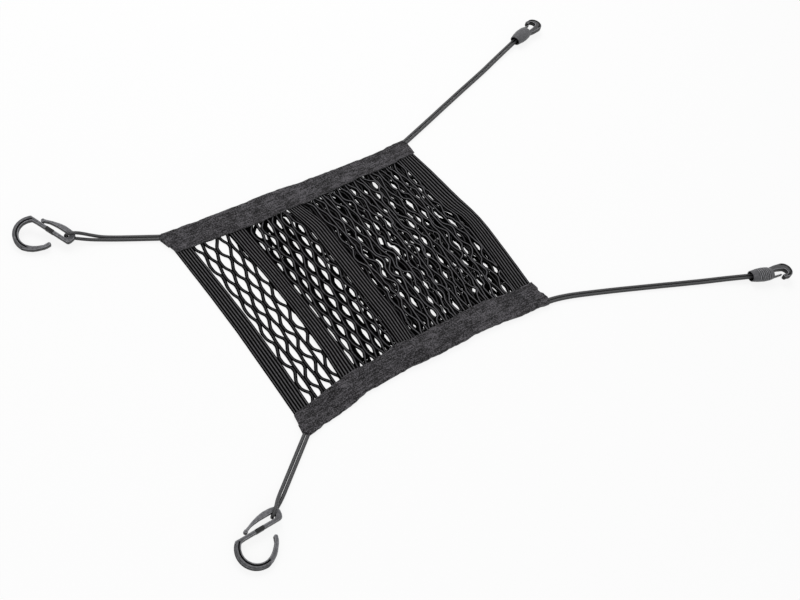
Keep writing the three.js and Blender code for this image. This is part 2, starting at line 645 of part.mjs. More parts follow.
function ferruleBody() {
  const profile = [new THREE.Vector2(0, 0)];
  for (const { s, r } of FERRULE) {
    profile.push(new THREE.Vector2(r, s));
  }
  profile.push(new THREE.Vector2(0, FERRULE[FERRULE.length - 1].s));
  const body = new THREE.LatheGeometry(profile, FERRULE_SIDES);
  return body.rotateZ(-Math.PI / 2).scale(1, 1, FLATTEN);
}

function ferruleBore() {
  const bore = new THREE.CylinderGeometry(1, 1, BORE.depth + 2, 16);
  bore.rotateZ(-Math.PI / 2).scale(1, BORE.width / 2, BORE.height / 2);
  return bore.translate(BORE.depth / 2 - 1, 0, 0);
}

function crookShape() {
  const at = (x, y) => new THREE.Vector2(x, y);
  return new THREE.Shape([
    at(20.9, -5.5),
    at(27.3, -6.9),
    at(35.2, -8.7),
    ...arc(BEND.x, BEND.y, BEND.radius, -97, 97, 15),
    ...arc(SMALL_TIP.x, SMALL_TIP.y, SMALL_TIP.radius, 95, 275, 5),
    ...arc(CROOK.x, CROOK.y, CROOK.radius, 84, SEAT_TURN, 4),
    ...arc(CROOK.x, CROOK.y, CROOK.radius, -SEAT_TURN, -84, 4),
    at(32.3, -2.5),
    at(26.6, -1.5),
    at(20.7, 1.0),
  ]);
}

function gateShape() {
  const at = (x, y) => new THREE.Vector2(x, y);
  return new THREE.Shape([
    at(22.8, 4.6),
    at(30.0, 4.2),
    at(37.6, 3.2),
    at(37.8, 4.4),
    at(30.0, 5.8),
    at(22.8, 6.6),
  ]);
}

function ferruleHook() {
  const crook = plate(crookShape(), -SMALL_BAR / 2, SMALL_BAR);
  const gate = plate(gateShape(), -GATE_HEIGHT / 2, GATE_HEIGHT);
  const outside = toManifold(ferruleBody()).add(toManifold(crook)).add(toManifold(gate));
  return fromManifold(outside.subtract(toManifold(ferruleBore())));
}

// The near one lies flipped on its other side, so that it curls the other way.
const FAR_FERRULE = { x: 372.8, y: 187.2, turn: 15.6, tilt: -0.8, roll: -3.5 };
const NEAR_FERRULE = { x: 371.7, y: -209.0, turn: -21.0, tilt: -2.3, roll: -4.1, flipped: true };

// ---------------------------------------------------------------- materials and scene
const tape = new THREE.MeshStandardMaterial({ color: 0x3c3a3e, roughness: 0.9, metalness: 0 });
const ribbed = new THREE.MeshStandardMaterial({ color: 0x1c1c1f, roughness: 0.8, metalness: 0 });
const knit = new THREE.MeshStandardMaterial({ color: 0x161618, roughness: 0.8, metalness: 0 });
const elastic = new THREE.MeshStandardMaterial({ color: 0x262628, roughness: 0.55, metalness: 0 });
const moulded = new THREE.MeshStandardMaterial({ color: 0x4a4a4e, roughness: 0.45, metalness: 0 });

const part = new THREE.Group();

part.add(named('band_far', band(FAR_BAND), tape));
part.add(named('band_near', band(NEAR_BAND), tape));

part.add(named('strip_1', strip(STRIP_1, 0, 1), ribbed));
part.add(named('strip_2', strip(STRIP_2, 1, 1), ribbed));
part.add(named('strip_3', strip(STRIP_3, 2, 1), ribbed));
part.add(named('strip_4', strip(STRIP_4, 0, 3), ribbed));

const gapsOfTwo = GAPS_OF_TWO.map(gapHole);
const gapsOfThree = GAPS_OF_THREE.map(gapHole);
const backHoles = [...latticeHoles(), ...gapsOfTwo, ...gapsOfThree];
part.add(named('net_back', net(zigzagEdge(), backHoles, 0), knit));
const middleEdge = edgeAlong(STRIP_2, 'right', SEAM_GAP);
part.add(named('net_middle', net(middleEdge, [...gapsOfTwo, ...gapsOfThree], 1), knit));
const frontEdge = edgeAlong(STRIP_3, 'right', SEAM_GAP);
part.add(named('net_front', net(frontEdge, gapsOfThree, 2), knit));

const hookFar = lay(named('hook_big_far', ringHook(), moulded), FAR_HOOK);
const hookNear = lay(named('hook_big_near', ringHook(), moulded), NEAR_HOOK);
part.add(hookFar);
part.add(hookNear);
part.add(lay(named('hook_small_far', ferruleHook(), moulded), FAR_FERRULE));
part.add(lay(named('hook_small_near', ferruleHook(), moulded), NEAR_FERRULE));

part.add(named('cord_far_left', cord(loopPoints(FAR_CORNER, hookFar)), elastic));
part.add(named('cord_near_left', cord(loopPoints(NEAR_CORNER, hookNear)), elastic));
for (const [name, route] of [['cord_far_right', FAR_PAIR], ['cord_near_right', NEAR_PAIR]]) {
  part.add(named(`${name}_1`, cord(strand(route, 1)), elastic));
  part.add(named(`${name}_2`, cord(strand(route, -1)), elastic));
}

export default part;
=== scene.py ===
"""Between-seat storage net: three layers of elastic netting with ribbed strips, sewn at both ends
into a folded tape, and carried at its corners on elastic cords with ring hooks and ferrule hooks.

Lengths in the tables are millimetres, like those of the part; meshes are made in metres."""

import math
from functools import partial

import bmesh
import bpy
import numpy as np
from mathutils import Matrix, Vector, noise


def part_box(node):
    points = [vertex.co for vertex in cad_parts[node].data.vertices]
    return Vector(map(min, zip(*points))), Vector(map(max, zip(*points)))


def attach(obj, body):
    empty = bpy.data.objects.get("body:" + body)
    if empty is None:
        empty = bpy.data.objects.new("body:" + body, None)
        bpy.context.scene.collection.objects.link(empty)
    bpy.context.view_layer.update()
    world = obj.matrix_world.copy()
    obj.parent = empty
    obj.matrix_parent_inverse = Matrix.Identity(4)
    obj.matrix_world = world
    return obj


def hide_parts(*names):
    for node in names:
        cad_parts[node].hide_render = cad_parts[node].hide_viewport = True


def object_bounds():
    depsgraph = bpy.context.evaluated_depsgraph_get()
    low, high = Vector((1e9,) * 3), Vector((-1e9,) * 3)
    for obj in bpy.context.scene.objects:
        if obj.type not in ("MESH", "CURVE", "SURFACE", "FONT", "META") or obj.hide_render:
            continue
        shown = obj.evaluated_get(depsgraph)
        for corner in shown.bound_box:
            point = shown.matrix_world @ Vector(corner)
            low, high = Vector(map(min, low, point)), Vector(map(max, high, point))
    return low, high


bl_info = {
    "name": "Between-seat storage net",
    "version": (1, 0, 0),
    "blender": (4, 5, 0),
    "location": "3D View > Sidebar > Storage Net",
    "description": "Builds the netting, tapes, strips, cords and hooks of a between-seat storage net",
    "category": "Add Mesh",
}

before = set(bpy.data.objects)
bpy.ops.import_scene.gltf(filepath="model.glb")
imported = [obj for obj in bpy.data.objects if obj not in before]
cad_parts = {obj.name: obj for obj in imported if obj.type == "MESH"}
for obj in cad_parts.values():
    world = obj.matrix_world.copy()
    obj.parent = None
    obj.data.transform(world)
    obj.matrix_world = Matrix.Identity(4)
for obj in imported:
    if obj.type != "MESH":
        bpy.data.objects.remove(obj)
CAD_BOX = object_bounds()
MM = 0.001
BODY = "root"
SIDES = ("far", "near")

# ---------------------------------------------------------------- sizes shared by the pieces
LAYER_STEP = 1.3  # from one net layer to the next, upwards
NET_THICK = 1.0
STRIP_THICK = 1.2
RIBS = 6
COVER = 9.0  # how far a tape's upper ply reaches over the net
TUCK = 7.0  # how far the net reaches under it
PLY = 1.0  # thickness of the tape


def length(name, description, default, low=0.0):
    return bpy.props.FloatProperty(
        name=name, description=description, default=default, min=low, unit="LENGTH")


def colour(name, description, shade):
    return bpy.props.FloatVectorProperty(
        name=name, description=description, default=(*shade, 1.0), size=4, min=0.0, max=1.0,
        subtype="COLOR")


class NetSizes(bpy.types.PropertyGroup):
    cord_diameter: length(
        "Cord diameter", "Diameter of the round elastic cords", 0.0031, 0.001)
    net_cord_width: length(
        "Net cord width", "Width of one flat cord of the netting", 0.0034, 0.0005)
    rib_depth: length(
        "Rib depth", "Depth of the furrows between a strip's ribs", 0.00042)
    stitch_pitch: length(
        "Stitch pitch", "From one stitch to the next along the tapes' seams", 0.0031, 0.001)
    pucker: length(
        "Pucker", "Height of the tapes' puckers between stitches", 0.0003)


class NetColours(bpy.types.PropertyGroup):
    tape: colour("Tape", "Charcoal of the woven tapes", (0.056, 0.053, 0.058))
    strip: colour("Strips", "Colour of the ribs' backs", (0.090, 0.088, 0.092))
    netting: colour("Netting", "Colour of the net cords' ridges", (0.100, 0.098, 0.104))
    cord: colour("Cords", "Colour of the braided elastic cords", (0.030, 0.030, 0.032))
    plastic: colour("Hooks", "Colour of the moulded hooks", (0.130, 0.130, 0.138))


class StageSettings(bpy.types.PropertyGroup):
    lens: bpy.props.FloatProperty(
        name="Lens", description="Focal length on a 36 mm wide sensor, in millimetres",
        default=45.0, min=10.0)
    surround: bpy.props.FloatProperty(
        name="Surround", description="Strength of the even light from all sides",
        default=0.45, min=0.0)
    key: bpy.props.FloatProperty(
        name="Key lamp", description="Power of the large lamp above the far side",
        default=7.5, min=0.0, unit="POWER")
    backdrop: bpy.props.FloatProperty(
        name="Backdrop", description="Share of the floor that shows as plain white",
        default=0.78, min=0.0, max=1.0, subtype="FACTOR")


# ---------------------------------------------------------------- meshes
def new_object(name, data):
    piece = bpy.data.objects.new(name, data)
    bpy.context.scene.collection.objects.link(piece)
    return piece


def mesh_from(bm, name, scale=MM):
    """The finished mesh of a bmesh in millimetres, smooth shaded, in metres."""
    bmesh.ops.scale(bm, vec=(scale,) * 3, verts=bm.verts)
    mesh = bpy.data.meshes.new(name)
    bm.to_mesh(mesh)
    bm.free()
    mesh.shade_smooth()
    return mesh


def bmesh_of(mesh):
    """The bmesh of a mesh, which is removed."""
    bm = bmesh.new()
    bm.from_mesh(mesh)
    bpy.data.meshes.remove(mesh)
    return bm


def welded(bm, near, fill=False):
    """Merges vertices nearer than that, fills the holes if asked and turns the faces outwards."""
    if near:
        bmesh.ops.remove_doubles(bm, verts=bm.verts, dist=near)
    if fill:
        bmesh.ops.holes_fill(bm, edges=[edge for edge in bm.edges if edge.is_boundary], sides=0)
    bmesh.ops.recalc_face_normals(bm, faces=bm.faces)
    return bm


def cloth(name, around, along, place, closed=True):
    """A grid laid onto place(u, v), sewn up along its sides and at its ends when closed."""
    bm = bmesh.new()
    bm.loops.layers.uv.new("UVMap")
    bmesh.ops.create_grid(bm, x_segments=around, y_segments=along, size=0.5, calc_uvs=True)
    for vert in bm.verts:
        vert.co = place(vert.co.x + 0.5, vert.co.y + 0.5)
    return mesh_from(welded(bm, 1e-5 if closed else 0.0, fill=closed), name)


def evaluated_mesh(piece):
    graph = bpy.context.evaluated_depsgraph_get()
    return bpy.data.meshes.new_from_object(piece.evaluated_get(graph))


def applied(piece):
    """Replaces a piece's mesh by its evaluated one, without its modifiers."""
    old = piece.data
    mesh = evaluated_mesh(piece)
    piece.modifiers.clear()
    piece.data = mesh
    bpy.data.meshes.remove(old)
    return piece


def settled(piece):
    """The piece with its few points below the floor lifted onto it."""
    for vert in piece.data.vertices:
        vert.co.z = max(vert.co.z, 0.0)
    return piece


def new_curve(name, dimensions, **settings):
    curve = bpy.data.curves.new(name, "CURVE")
    curve.dimensions = dimensions
    for key, value in settings.items():
        setattr(curve, key, value)
    return curve


def add_line(curve, points, cyclic=False):
    spline = curve.splines.new("POLY")
    spline.points.add(len(points) - 1)
    for knot, point in zip(spline.points, points):
        knot.co = (*point, 1.0)
    spline.use_cyclic_u = cyclic


def curve_mesh(curve):
    """The mesh that a curve makes; the curve itself is removed."""
    holder = new_object(curve.name, curve)
    mesh = evaluated_mesh(holder)
    bpy.data.objects.remove(holder)
    bpy.data.curves.remove(curve)
    return mesh


def ribbons(name, runs, section):
    """Sweeps a closed section, kept level, along every run of points, as one mesh."""
    outline = new_curve(name + "_section", "2D")
    add_line(outline, [(x * MM, y * MM, 0.0) for x, y in section], cyclic=True)
    holder = new_object(outline.name, outline)
    curve = new_curve(name, "3D", twist_mode="Z_UP", bevel_mode="OBJECT", bevel_object=holder,
                      use_fill_caps=True)
    for run in runs:
        add_line(curve, [(x * MM, y * MM, z * MM) for x, y, z in run])
    mesh = curve_mesh(curve)
    bpy.data.objects.remove(holder)
    bpy.data.curves.remove(outline)
    return mesh_from(welded(bmesh_of(mesh), 1e-6), name, 1.0)


def arc(x, y, radius, start, end, steps):
    """Points on a circle, both ends included; angles in degrees."""
    turns = [math.radians(start + (end - start) * i / steps) for i in range(steps + 1)]
    return [(x + radius * math.cos(turn), y + radius * math.sin(turn)) for turn in turns]


def rounded_plate(outline, thickness, rounding, low=0.0):
    """A plate with its rim rounded and its underside at a height, as a bmesh in millimetres."""
    curve = new_curve("plate", "2D", fill_mode="BOTH", extrude=thickness / 2 - rounding,
                      bevel_depth=rounding, bevel_resolution=2, offset=-rounding)
    add_line(curve, [(x, y, 0.0) for x, y in outline], cyclic=True)
    bm = bmesh_of(curve_mesh(curve))
    bmesh.ops.translate(bm, vec=(0, 0, low + thickness / 2), verts=bm.verts)
    return welded(bm, 1e-3)


def arc_slab(centre, inner, outer, start, end, low, high):
    """A curved bar between two radii and two heights, as a bmesh in millimetres."""
    bm = bmesh.new()
    bmesh.ops.create_grid(bm, x_segments=40, y_segments=1, size=0.5)
    for vert in bm.verts:
        turn = math.radians(start + (end - start) * (vert.co.x + 0.5))
        radius = inner + (outer - inner) * (vert.co.y + 0.5)
        vert.co = (centre[0] + radius * math.cos(turn), centre[1] + radius * math.sin(turn), low)
    lifted = bmesh.ops.extrude_face_region(bm, geom=list(bm.faces), use_keep_orig=True)["geom"]
    top = [item for item in lifted if isinstance(item, bmesh.types.BMVert)]
    bmesh.ops.translate(bm, vec=(0, 0, high - low), verts=top)
    return welded(bm, 0.0)


def combined(body, others, operation):
    """Joins other bmeshes to a body, or cuts them from it, with the exact solver."""
    piece = new_object("body", mesh_from(body, "body", 1.0))
    tools = [new_object("tool", mesh_from(other, "tool", 1.0)) for other in others]
    for tool in tools:
        step = piece.modifiers.new("join", "BOOLEAN")
        step.operation = operation
        step.solver = "EXACT"
        step.object = tool
    applied(piece)
    for tool in tools:
        bpy.data.meshes.remove(tool.data)
    return bmesh_of(piece.data)


def wobble(x, y, z):
    """Smooth noise from -1 to 1 at a place."""
    return noise.noise(Vector((x, y, z)))


def smooth(value, low, high):
    """0 below low, 1 above high and a soft step between them."""
    share = min(max((value - low) / (high - low), 0.0), 1.0)
    return share * share * (3 - 2 * share)


def dress(piece, finish, solid=None):
    """Gives a piece its material and body, and puts it in place of a solid."""
    piece.data.materials.append(finish)
    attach(piece, BODY)
    if solid:
        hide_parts(solid)
    return piece


# ---------------------------------------------------------------- materials
def connect(tree, socket, value):
    """Sets a socket to a number or colour, or links it to another one."""
    if isinstance(value, bpy.types.NodeSocket):
        tree.links.new(value, socket)
    else:
        socket.default_value = value


def node(tree, kind, inputs, **settings):
    """A new node with its settings, and its inputs set or linked."""
    made = tree.nodes.new("ShaderNode" + kind)
    for key, value in settings.items():
        setattr(made, key, value)
    for key, value in inputs.items():
        connect(tree, made.inputs[key], value)
    return made


def new_finish(name, colour, roughness, specular):
    """A new material, its node tree and its shader's inputs."""
    material = bpy.data.materials.new(name)
    material.use_nodes = True
    inputs = material.node_tree.nodes["Principled BSDF"].inputs
    inputs["Base Color"].default_value = colour
    inputs["Roughness"].default_value = roughness
    inputs["Specular IOR Level"].default_value = specular
    return material, material.node_tree, inputs


def maths(tree, operation, *values):
    return node(tree, "Math", dict(enumerate(values)), operation=operation).outputs[0]


def sine(tree, value, scale, shift=0.0):
    """sin(scale * value + shift) * 0.5 + 0.5."""
    wave = maths(tree, "SINE", maths(tree, "MULTIPLY_ADD", value, scale, shift))
    return maths(tree, "MULTIPLY_ADD", wave, 0.5, 0.5)


def blend(tree, *parts):
    """The sum of values, each times its share."""
    total = 0.0
    for value, share in parts:
        total = maths(tree, "MULTIPLY_ADD", value, share, total)
    return total


def placed(tree, source, *scale):
    """Coordinates of a kind (UV or Object), scaled along x, y and z."""
    coordinates = node(tree, "TexCoord", {}).outputs[source]
    return node(tree, "Mapping", {"Vector": coordinates, "Scale": scale}).outputs["Vector"]


def millimetres(tree):
    """A place on the object, in millimetres."""
    return placed(tree, "Object", 1000.0, 1000.0, 1000.0)


def split(tree, vector):
    return node(tree, "SeparateXYZ", {0: vector}).outputs


def painted_light(tree):
    """The painted light and shade that a piece's faces or points carry, from 0 to 1."""
    return node(tree, "Attribute", {}, attribute_name="painted_light").outputs["Fac"]


def noise_of(tree, vector, scale, detail):
    """Cloudy noise, its clouds a unit of the vector divided by the scale across."""
    values = {"Vector": vector, "Scale": scale, "Detail": detail}
    return node(tree, "TexNoise", values).outputs["Fac"]


def dark(colour, share):
    return (*[channel * share for channel in colour[:3]], 1.0)


def shaded(tree, inputs, colour, value, *stops):
    """Shades a colour by a value: stops are pairs of a value and a share of the colour."""
    made = node(tree, "ValToRGB", {"Fac": value})
    elements = made.color_ramp.elements
    while len(elements) < len(stops):
        elements.new(1.0)
    for element, (position, share) in zip(elements, stops):
        element.position = position
        element.color = dark(colour, share)
    connect(tree, inputs["Base Color"], made.outputs["Color"])


def bumped(tree, inputs, height, strength, depth):
    """Roughens a surface by a height field of that depth in metres."""
    values = {"Height": height, "Strength": strength, "Distance": depth}
    connect(tree, inputs["Normal"], node(tree, "Bump", values).outputs["Normal"])


def tape_finish(name, colour):
    """Fine twill with a grainy yarn, streaks along the tape and soft lighter patches."""
    material, tree, inputs = new_finish(name, colour, 0.95, 0.12)
    inputs["Sheen Weight"].default_value = 0.15
    inputs["Sheen Roughness"].default_value = 0.6
    place = millimetres(tree)
    x, y, _ = split(tree, place)
    twill = maths(tree, "MULTIPLY", sine(tree, maths(tree, "ADD", x, y), 4.6), sine(tree, y, 6.4))
    grain = noise_of(tree, place, 0.85, 1.0)
    streaks = noise_of(tree, placed(tree, "Object", 110.0, 1100.0, 1100.0), 0.8, 2.0)
    patches = noise_of(tree, place, 0.11, 3.0)
    yarn = blend(tree, (grain, 0.75), (twill, 0.25))
    tone = blend(tree, (yarn, 0.55), (streaks, 0.27), (patches, 0.18))
    shaded(tree, inputs, colour, tone, (0.405, 0.03), (0.46, 0.6), (0.525, 2.5))
    bumped(tree, inputs, yarn, 0.8, 0.0005)
    return material


def thread_finish(name, colour):
    """Spun thread, slightly uneven in tone."""
    material, tree, inputs = new_finish(name, colour, 0.7, 0.2)
    grain = noise_of(tree, millimetres(tree), 1.8, 3.0)
    shaded(tree, inputs, colour, grain, (0.35, 0.6), (0.65, 1.4))
    bumped(tree, inputs, grain, 0.4, 0.0002)
    return material


THREADS = 230  # cross threads along a strip
EDGE_SHADE_FADE = 16.0  # how sharply painted shade darkens a strip at its two edges


def strip_finish(name, colour):
    """Ribs with painted highlights on their backs, painted shade in their furrows and at the strip's
    edges, and fine cross threads; u runs round the section.
    """
    material, tree, inputs = new_finish(name, colour, 0.95, 0.02)
    u, v, _ = split(tree, placed(tree, "UV", 1.0, 1.0, 1.0))
    # Painted light: the ribs' backs pale, their furrows dark.
    backs = sine(tree, u, math.tau * RIBS * 2, -math.pi / 2)
    threads = sine(tree, v, math.tau * THREADS)
    grain = noise_of(tree, millimetres(tree), 0.6, 3.0)
    # Painted shade darkening the strip's two edges.
    inside = maths(tree, "MULTIPLY", sine(tree, u, math.tau * 2, -math.pi / 2), EDGE_SHADE_FADE)
    backs = maths(tree, "MULTIPLY", backs, maths(tree, "MINIMUM", inside, 1.0))
    tone = maths(tree, "MULTIPLY", backs, maths(tree, "MULTIPLY_ADD", grain, 0.6, 0.7))
    shaded(tree, inputs, colour, tone, (0.38, 0.01), (0.68, 0.45), (0.97, 1.5))
    bumped(tree, inputs, maths(tree, "ADD", threads, grain), 0.35, 0.0002)
    return material


def net_finish(name, colour):
    """Two knitted ridges on each flat cord, with painted highlights on their tops and painted shade
    between them, along the sides and where layers lie against each other.
    """
    material, tree, inputs = new_finish(name, colour, 0.95, 0.02)
    place = millimetres(tree)
    lifted = maths(tree, "MULTIPLY_ADD", noise_of(tree, place, 0.55, 3.0), 0.7, 0.62)
    # Painted light and shade from the cords' marks, varied by a random tone.
    tone = maths(tree, "MULTIPLY", painted_light(tree), lifted)
    shaded(tree, inputs, colour, tone, (0.3, 0.01), (0.68, 0.5), (1.0, 1.35))
    bumped(tree, inputs, noise_of(tree, place, 2.6, 2.0), 0.35, 0.0002)
    return material


BRAIDS = (620, 6)  # threads of the braid along a metre of cord, and round it


def cord_finish(name, colour):
    """A tight diagonal braid, with a painted highlight along its top and painted shade on its sides
    and underside; u runs along the cord in metres.
    """
    material, tree, inputs = new_finish(name, colour, 0.4, 0.5)
    u, v, _ = split(tree, placed(tree, "UV", 1.0, 1.0, 1.0))
    along = maths(tree, "MULTIPLY", u, math.tau * BRAIDS[0])
    across = maths(tree, "MULTIPLY", v, math.tau * BRAIDS[1])
    ways = [sine(tree, maths(tree, way, along, across), 1.0) for way in ("ADD", "SUBTRACT")]
    braid = maths(tree, "MAXIMUM", *ways)
    # The cord's painted light: pale on top, dark underneath.
    top = painted_light(tree)
    tone = maths(tree, "MULTIPLY", braid, maths(tree, "MULTIPLY", top, top))
    shaded(tree, inputs, colour, tone, (0.2, 0.04), (0.55, 0.7), (0.95, 2.8))
    bumped(tree, inputs, braid, 0.45, 0.00025)
    return material


def plastic_finish(name, colour, roughness=0.42):
    """Moulded plastic with painted highlights on its rims, painted shade on its sides and in its
    grooves, a faint grain and uneven gloss.
    """
    material, tree, inputs = new_finish(name, colour, roughness, 0.3)
    place = millimetres(tree)
    cloudy = noise_of(tree, place, 0.45, 4.0)
    lifted = maths(tree, "MULTIPLY_ADD", cloudy, 0.9, 0.55)
    # Painted light and shade from the faces' marks, varied by the grain.
    tone = maths(tree, "MULTIPLY", painted_light(tree), lifted)
    shaded(tree, inputs, colour, tone, (0.0, 0.02), (0.2, 0.15), (0.6, 1.0), (0.95, 3.2))
    gloss = maths(tree, "MULTIPLY_ADD", cloudy, 0.25, roughness - 0.12)
    connect(tree, inputs["Roughness"], gloss)
    bumped(tree, inputs, noise_of(tree, place, 3.0, 2.0), 0.12, 0.0002)
    return material


def finish_of(name, maker, colour, *settings):
    """The material of that name, made once."""
    return bpy.data.materials.get(name) or maker(name, tuple(colour), *settings)


# ---------------------------------------------------------------- stage
CAMERA_AT = (-0.4724, -0.3692, 0.7463)
CAMERA_TARGET = (0.0119, -0.0445, 0.0)
CAMERA_ROLL = math.radians(22.5)
FLOOR_DROP = 0.4  # millimetres from the part down to the floor
FLOOR_REACH = 6000  # and from the middle to the floor's sides
FLOOR_GLOW = 1.08  # a little over white, so that the ground shows plain
KEY_AT = (0.35, 0.9, 1.3)
FILL_AT = (-1.0, -0.7, 1.2)


def aimed(place, target):
    """A matrix at a place that looks at a target."""
    away = Vector(target) - Vector(place)
    return Matrix.Translation(place) @ away.to_track_quat("-Z", "Y").to_matrix().to_4x4()


def add_camera(lens):
    data = bpy.data.cameras.new("camera")
    data.lens = lens
    data.sensor_width = 36.0
    data.clip_start = 0.01
    camera = new_object("camera", data)
    camera.matrix_world = aimed(CAMERA_AT, CAMERA_TARGET) @ Matrix.Rotation(CAMERA_ROLL, 4, "Z")
    bpy.context.scene.camera = camera


def add_lamp(name, place, size, power):
    data = bpy.data.lights.new(name, "AREA")
    data.energy = power
    data.size = size
    new_object(name, data).matrix_world = aimed(place, (CAD_BOX[0] + CAD_BOX[1]) / 2)


def seen_directly(tree):
    """1 for camera, glossy and transmission rays."""
    rays = node(tree, "LightPath", {}).outputs
    seen = maths(tree, "MAXIMUM", rays["Is Camera Ray"], rays["Is Glossy Ray"])
    return maths(tree, "MAXIMUM", seen, rays["Is Transmission Ray"])


def add_floor(backdrop):
    bm = bmesh.new()
    bmesh.ops.create_grid(bm, x_segments=1, y_segments=1, size=FLOOR_REACH)
    bmesh.ops.translate(bm, vec=(0, 0, -FLOOR_DROP), verts=bm.verts)
    floor = new_object("floor", mesh_from(bm, "floor"))
    material, tree, _ = new_finish("white_floor", (0.86, 0.86, 0.86, 1.0), 0.9, 0.0)
    glow = node(tree, "Emission", {"Strength": FLOOR_GLOW}).outputs[0]
    surface = tree.nodes["Principled BSDF"].outputs[0]
    share = maths(tree, "MULTIPLY", seen_directly(tree), backdrop)
    mix = node(tree, "MixShader", {"Fac": share, 1: surface, 2: glow})
    connect(tree, tree.nodes["Material Output"].inputs["Surface"], mix.outputs[0])
    floor.data.materials.append(material)


def add_world(surround):
    world = bpy.data.worlds.new("studio")
    world.use_nodes = True
    tree = world.node_tree
    white = (1.0, 1.0, 1.0, 1.0)
    even = tree.nodes["Background"]
    even.inputs["Color"].default_value = white
    even.inputs["Strength"].default_value = surround
    plain = node(tree, "Background", {"Color": white, "Strength": 1.0})
    mix = node(tree, "MixShader",
               {"Fac": seen_directly(tree), 1: even.outputs[0], 2: plain.outputs[0]})
    connect(tree, tree.nodes["World Output"].inputs["Surface"], mix.outputs[0])
    bpy.context.scene.world = world


class STORAGENET_OT_stage(bpy.types.Operator):
    """Sets the camera, the white floor, the lamps and the world"""

    bl_idname = "storage_net.stage"
    bl_label = "Stage"

    def execute(self, context):
        settings = context.scene.storage_net_stage
        context.scene.view_settings.view_transform = "Standard"
        add_camera(settings.lens)
        add_floor(settings.backdrop)
        add_world(settings.surround)
        add_lamp("key", KEY_AT, 0.9, settings.key)
        add_lamp("fill", FILL_AT, 1.4, settings.key * 0.5)
        return {"FINISHED"}


# ---------------------------------------------------------------- cords
# A cord doubled through a hook's eye. Columns: distance from the tape towards the hook,
# distance sideways from the line between them, height.
LOOP = [
    (0.5, 1.66, 1.6), (14, 1.66, 1.6), (28, 1.66, 1.6), (42, 1.66, 1.6), (53, 1.66, 2.1),
    (62, 1.6, 4.2), (69, 1.3, 7.4), (74, 0.8, 10.1), (77.5, 0.3, 10.8), (80, 0.05, 10.5),
    (81.8, 0, 9.4), (83, 0, 7.9), (83.5, 0, 6.0), (82.9, 0, 3.9), (81.3, 0, 2.2), (79.1, -0.1, 1.6),
    (76, -0.5, 1.6), (70, -1.2, 1.6), (62, -1.6, 1.6), (53, -1.66, 1.6), (42, -1.66, 1.6),
    (28, -1.66, 1.6), (14, -1.66, 1.6), (0.5, -1.66, 1.6),
]
LOOP_EYE = (82.9, 5.7)  # the eye's middle in that table: distance, height
BIGHT = 60  # from this distance on, the loop keeps its shape
SQUARE = 76  # and from this one, it runs square to the hook
SLOT_WALL = 4  # as far as this above and below the eye's middle
CORNERS = {"far": (-148.05, 120.2), "near": (-147.2, -115.75)}

# Middle line of each long pair, from the tape's corner into the ferrule: x, y, height.
FAR_PAIR = [
    (141.9, 115.2, 1.6), (152, 118.3, 1.6), (165, 122.4, 1.6), (181, 127.4, 1.6), (198, 132.8, 1.6),
    (216, 138.6, 1.6), (235, 144.6, 1.6), (253, 150.3, 1.6), (272, 156.2, 1.6), (292, 162.4, 1.6),
    (309, 167.8, 1.7), (324, 172.8, 2.1), (340, 177.9, 2.8), (356, 182.8, 3.8), (366, 185.8, 4.5),
    (373, 187.9, 4.9), (381, 190.2, 5.2),
]
NEAR_PAIR = [
    (144.4, -119.0, 1.6), (152, -120.5, 1.6), (165, -124.0, 1.6), (178, -128.4, 1.6),
    (192, -133.7, 1.6), (208, -139.9, 1.6), (225, -146.6, 1.6), (241, -153.1, 1.6),
    (258, -160.0, 1.6), (273, -166.1, 1.6), (288, -172.3, 1.6), (302, -178.0, 1.6),
    (315.4, -183.6, 1.8), (328.2, -188.9, 2.2), (341.4, -194.4, 2.8), (356.4, -201.0, 3.7),
    (365, -204.9, 4.3), (372, -208.1, 4.8), (379.8, -211.4, 5.2),
]
PAIRS = {"far": FAR_PAIR, "near": NEAR_PAIR}
STRAND_OFFSET = 1.66  # each strand of a pair lies this far from the pair's middle
CORD_SIDES = 20
CORD_ROOT = 0.003  # metres of a cord that are sewn into the tape
# A direction that no stretch of a cord runs along.
SIDE_HINT = {"far": Vector((0.35, 0.85, 0.39)), "near": Vector((0.35, -0.85, 0.39))}


def loop_points(corner, hook):
    """The loop laid out from a tape's corner to the eye of a hook."""
    eye = hook @ Vector((*SLOT_END, HOOK_THICK / 2))
    line = Vector((eye.x - corner[0], eye.y - corner[1], 0))
    stretch = line.length - LOOP_EYE[0]
    along = line.normalized()
    across = Vector((along.y, -along.x, 0))
    square = hook.to_3x3() @ Vector((0, 0, 1))
    lean = Vector((square.x / square.z, square.y / square.z, 0))
    points = []
    for distance, sideways, height in LOOP:
        share = min(distance / BIGHT, 1)
        rise = min(max(height - LOOP_EYE[1], -SLOT_WALL), SLOT_WALL)
        lift = height + (eye.z - LOOP_EYE[1]) * share**4
        point = Vector((*corner, lift)) + along * (distance + stretch * share)
        points.append(point + across * sideways + lean * (rise * smooth(distance, BIGHT, SQUARE)))
    return points


def strand(points, side):
    """A strand beside the middle line of a pair; side is 1 or -1."""
    moved = []
    for i, point in enumerate(points):
        before = points[max(i - 1, 0)]
        after = points[min(i + 1, len(points) - 1)]
        sideways = Vector((before[1] - after[1], after[0] - before[0], 0)).normalized()
        moved.append(Vector(point) + sideways * (side * STRAND_OFFSET))
    return moved


def length_of(points):
    return sum((b - a).length for a, b in zip(points, points[1:]))


def centre_line(points):
    """Close points in metres along a smooth curve through the route."""
    curve = new_curve("line", "3D", resolution_u=10)
    spline = curve.splines.new("BEZIER")
    spline.bezier_points.add(len(points) - 1)
    for knot, point in zip(spline.bezier_points, points):
        knot.co = point * MM
        knot.handle_left_type = knot.handle_right_type = "AUTO"
    mesh = curve_mesh(curve)
    line = [vert.co.copy() for vert in mesh.vertices]
    bpy.data.meshes.remove(mesh)
    return line


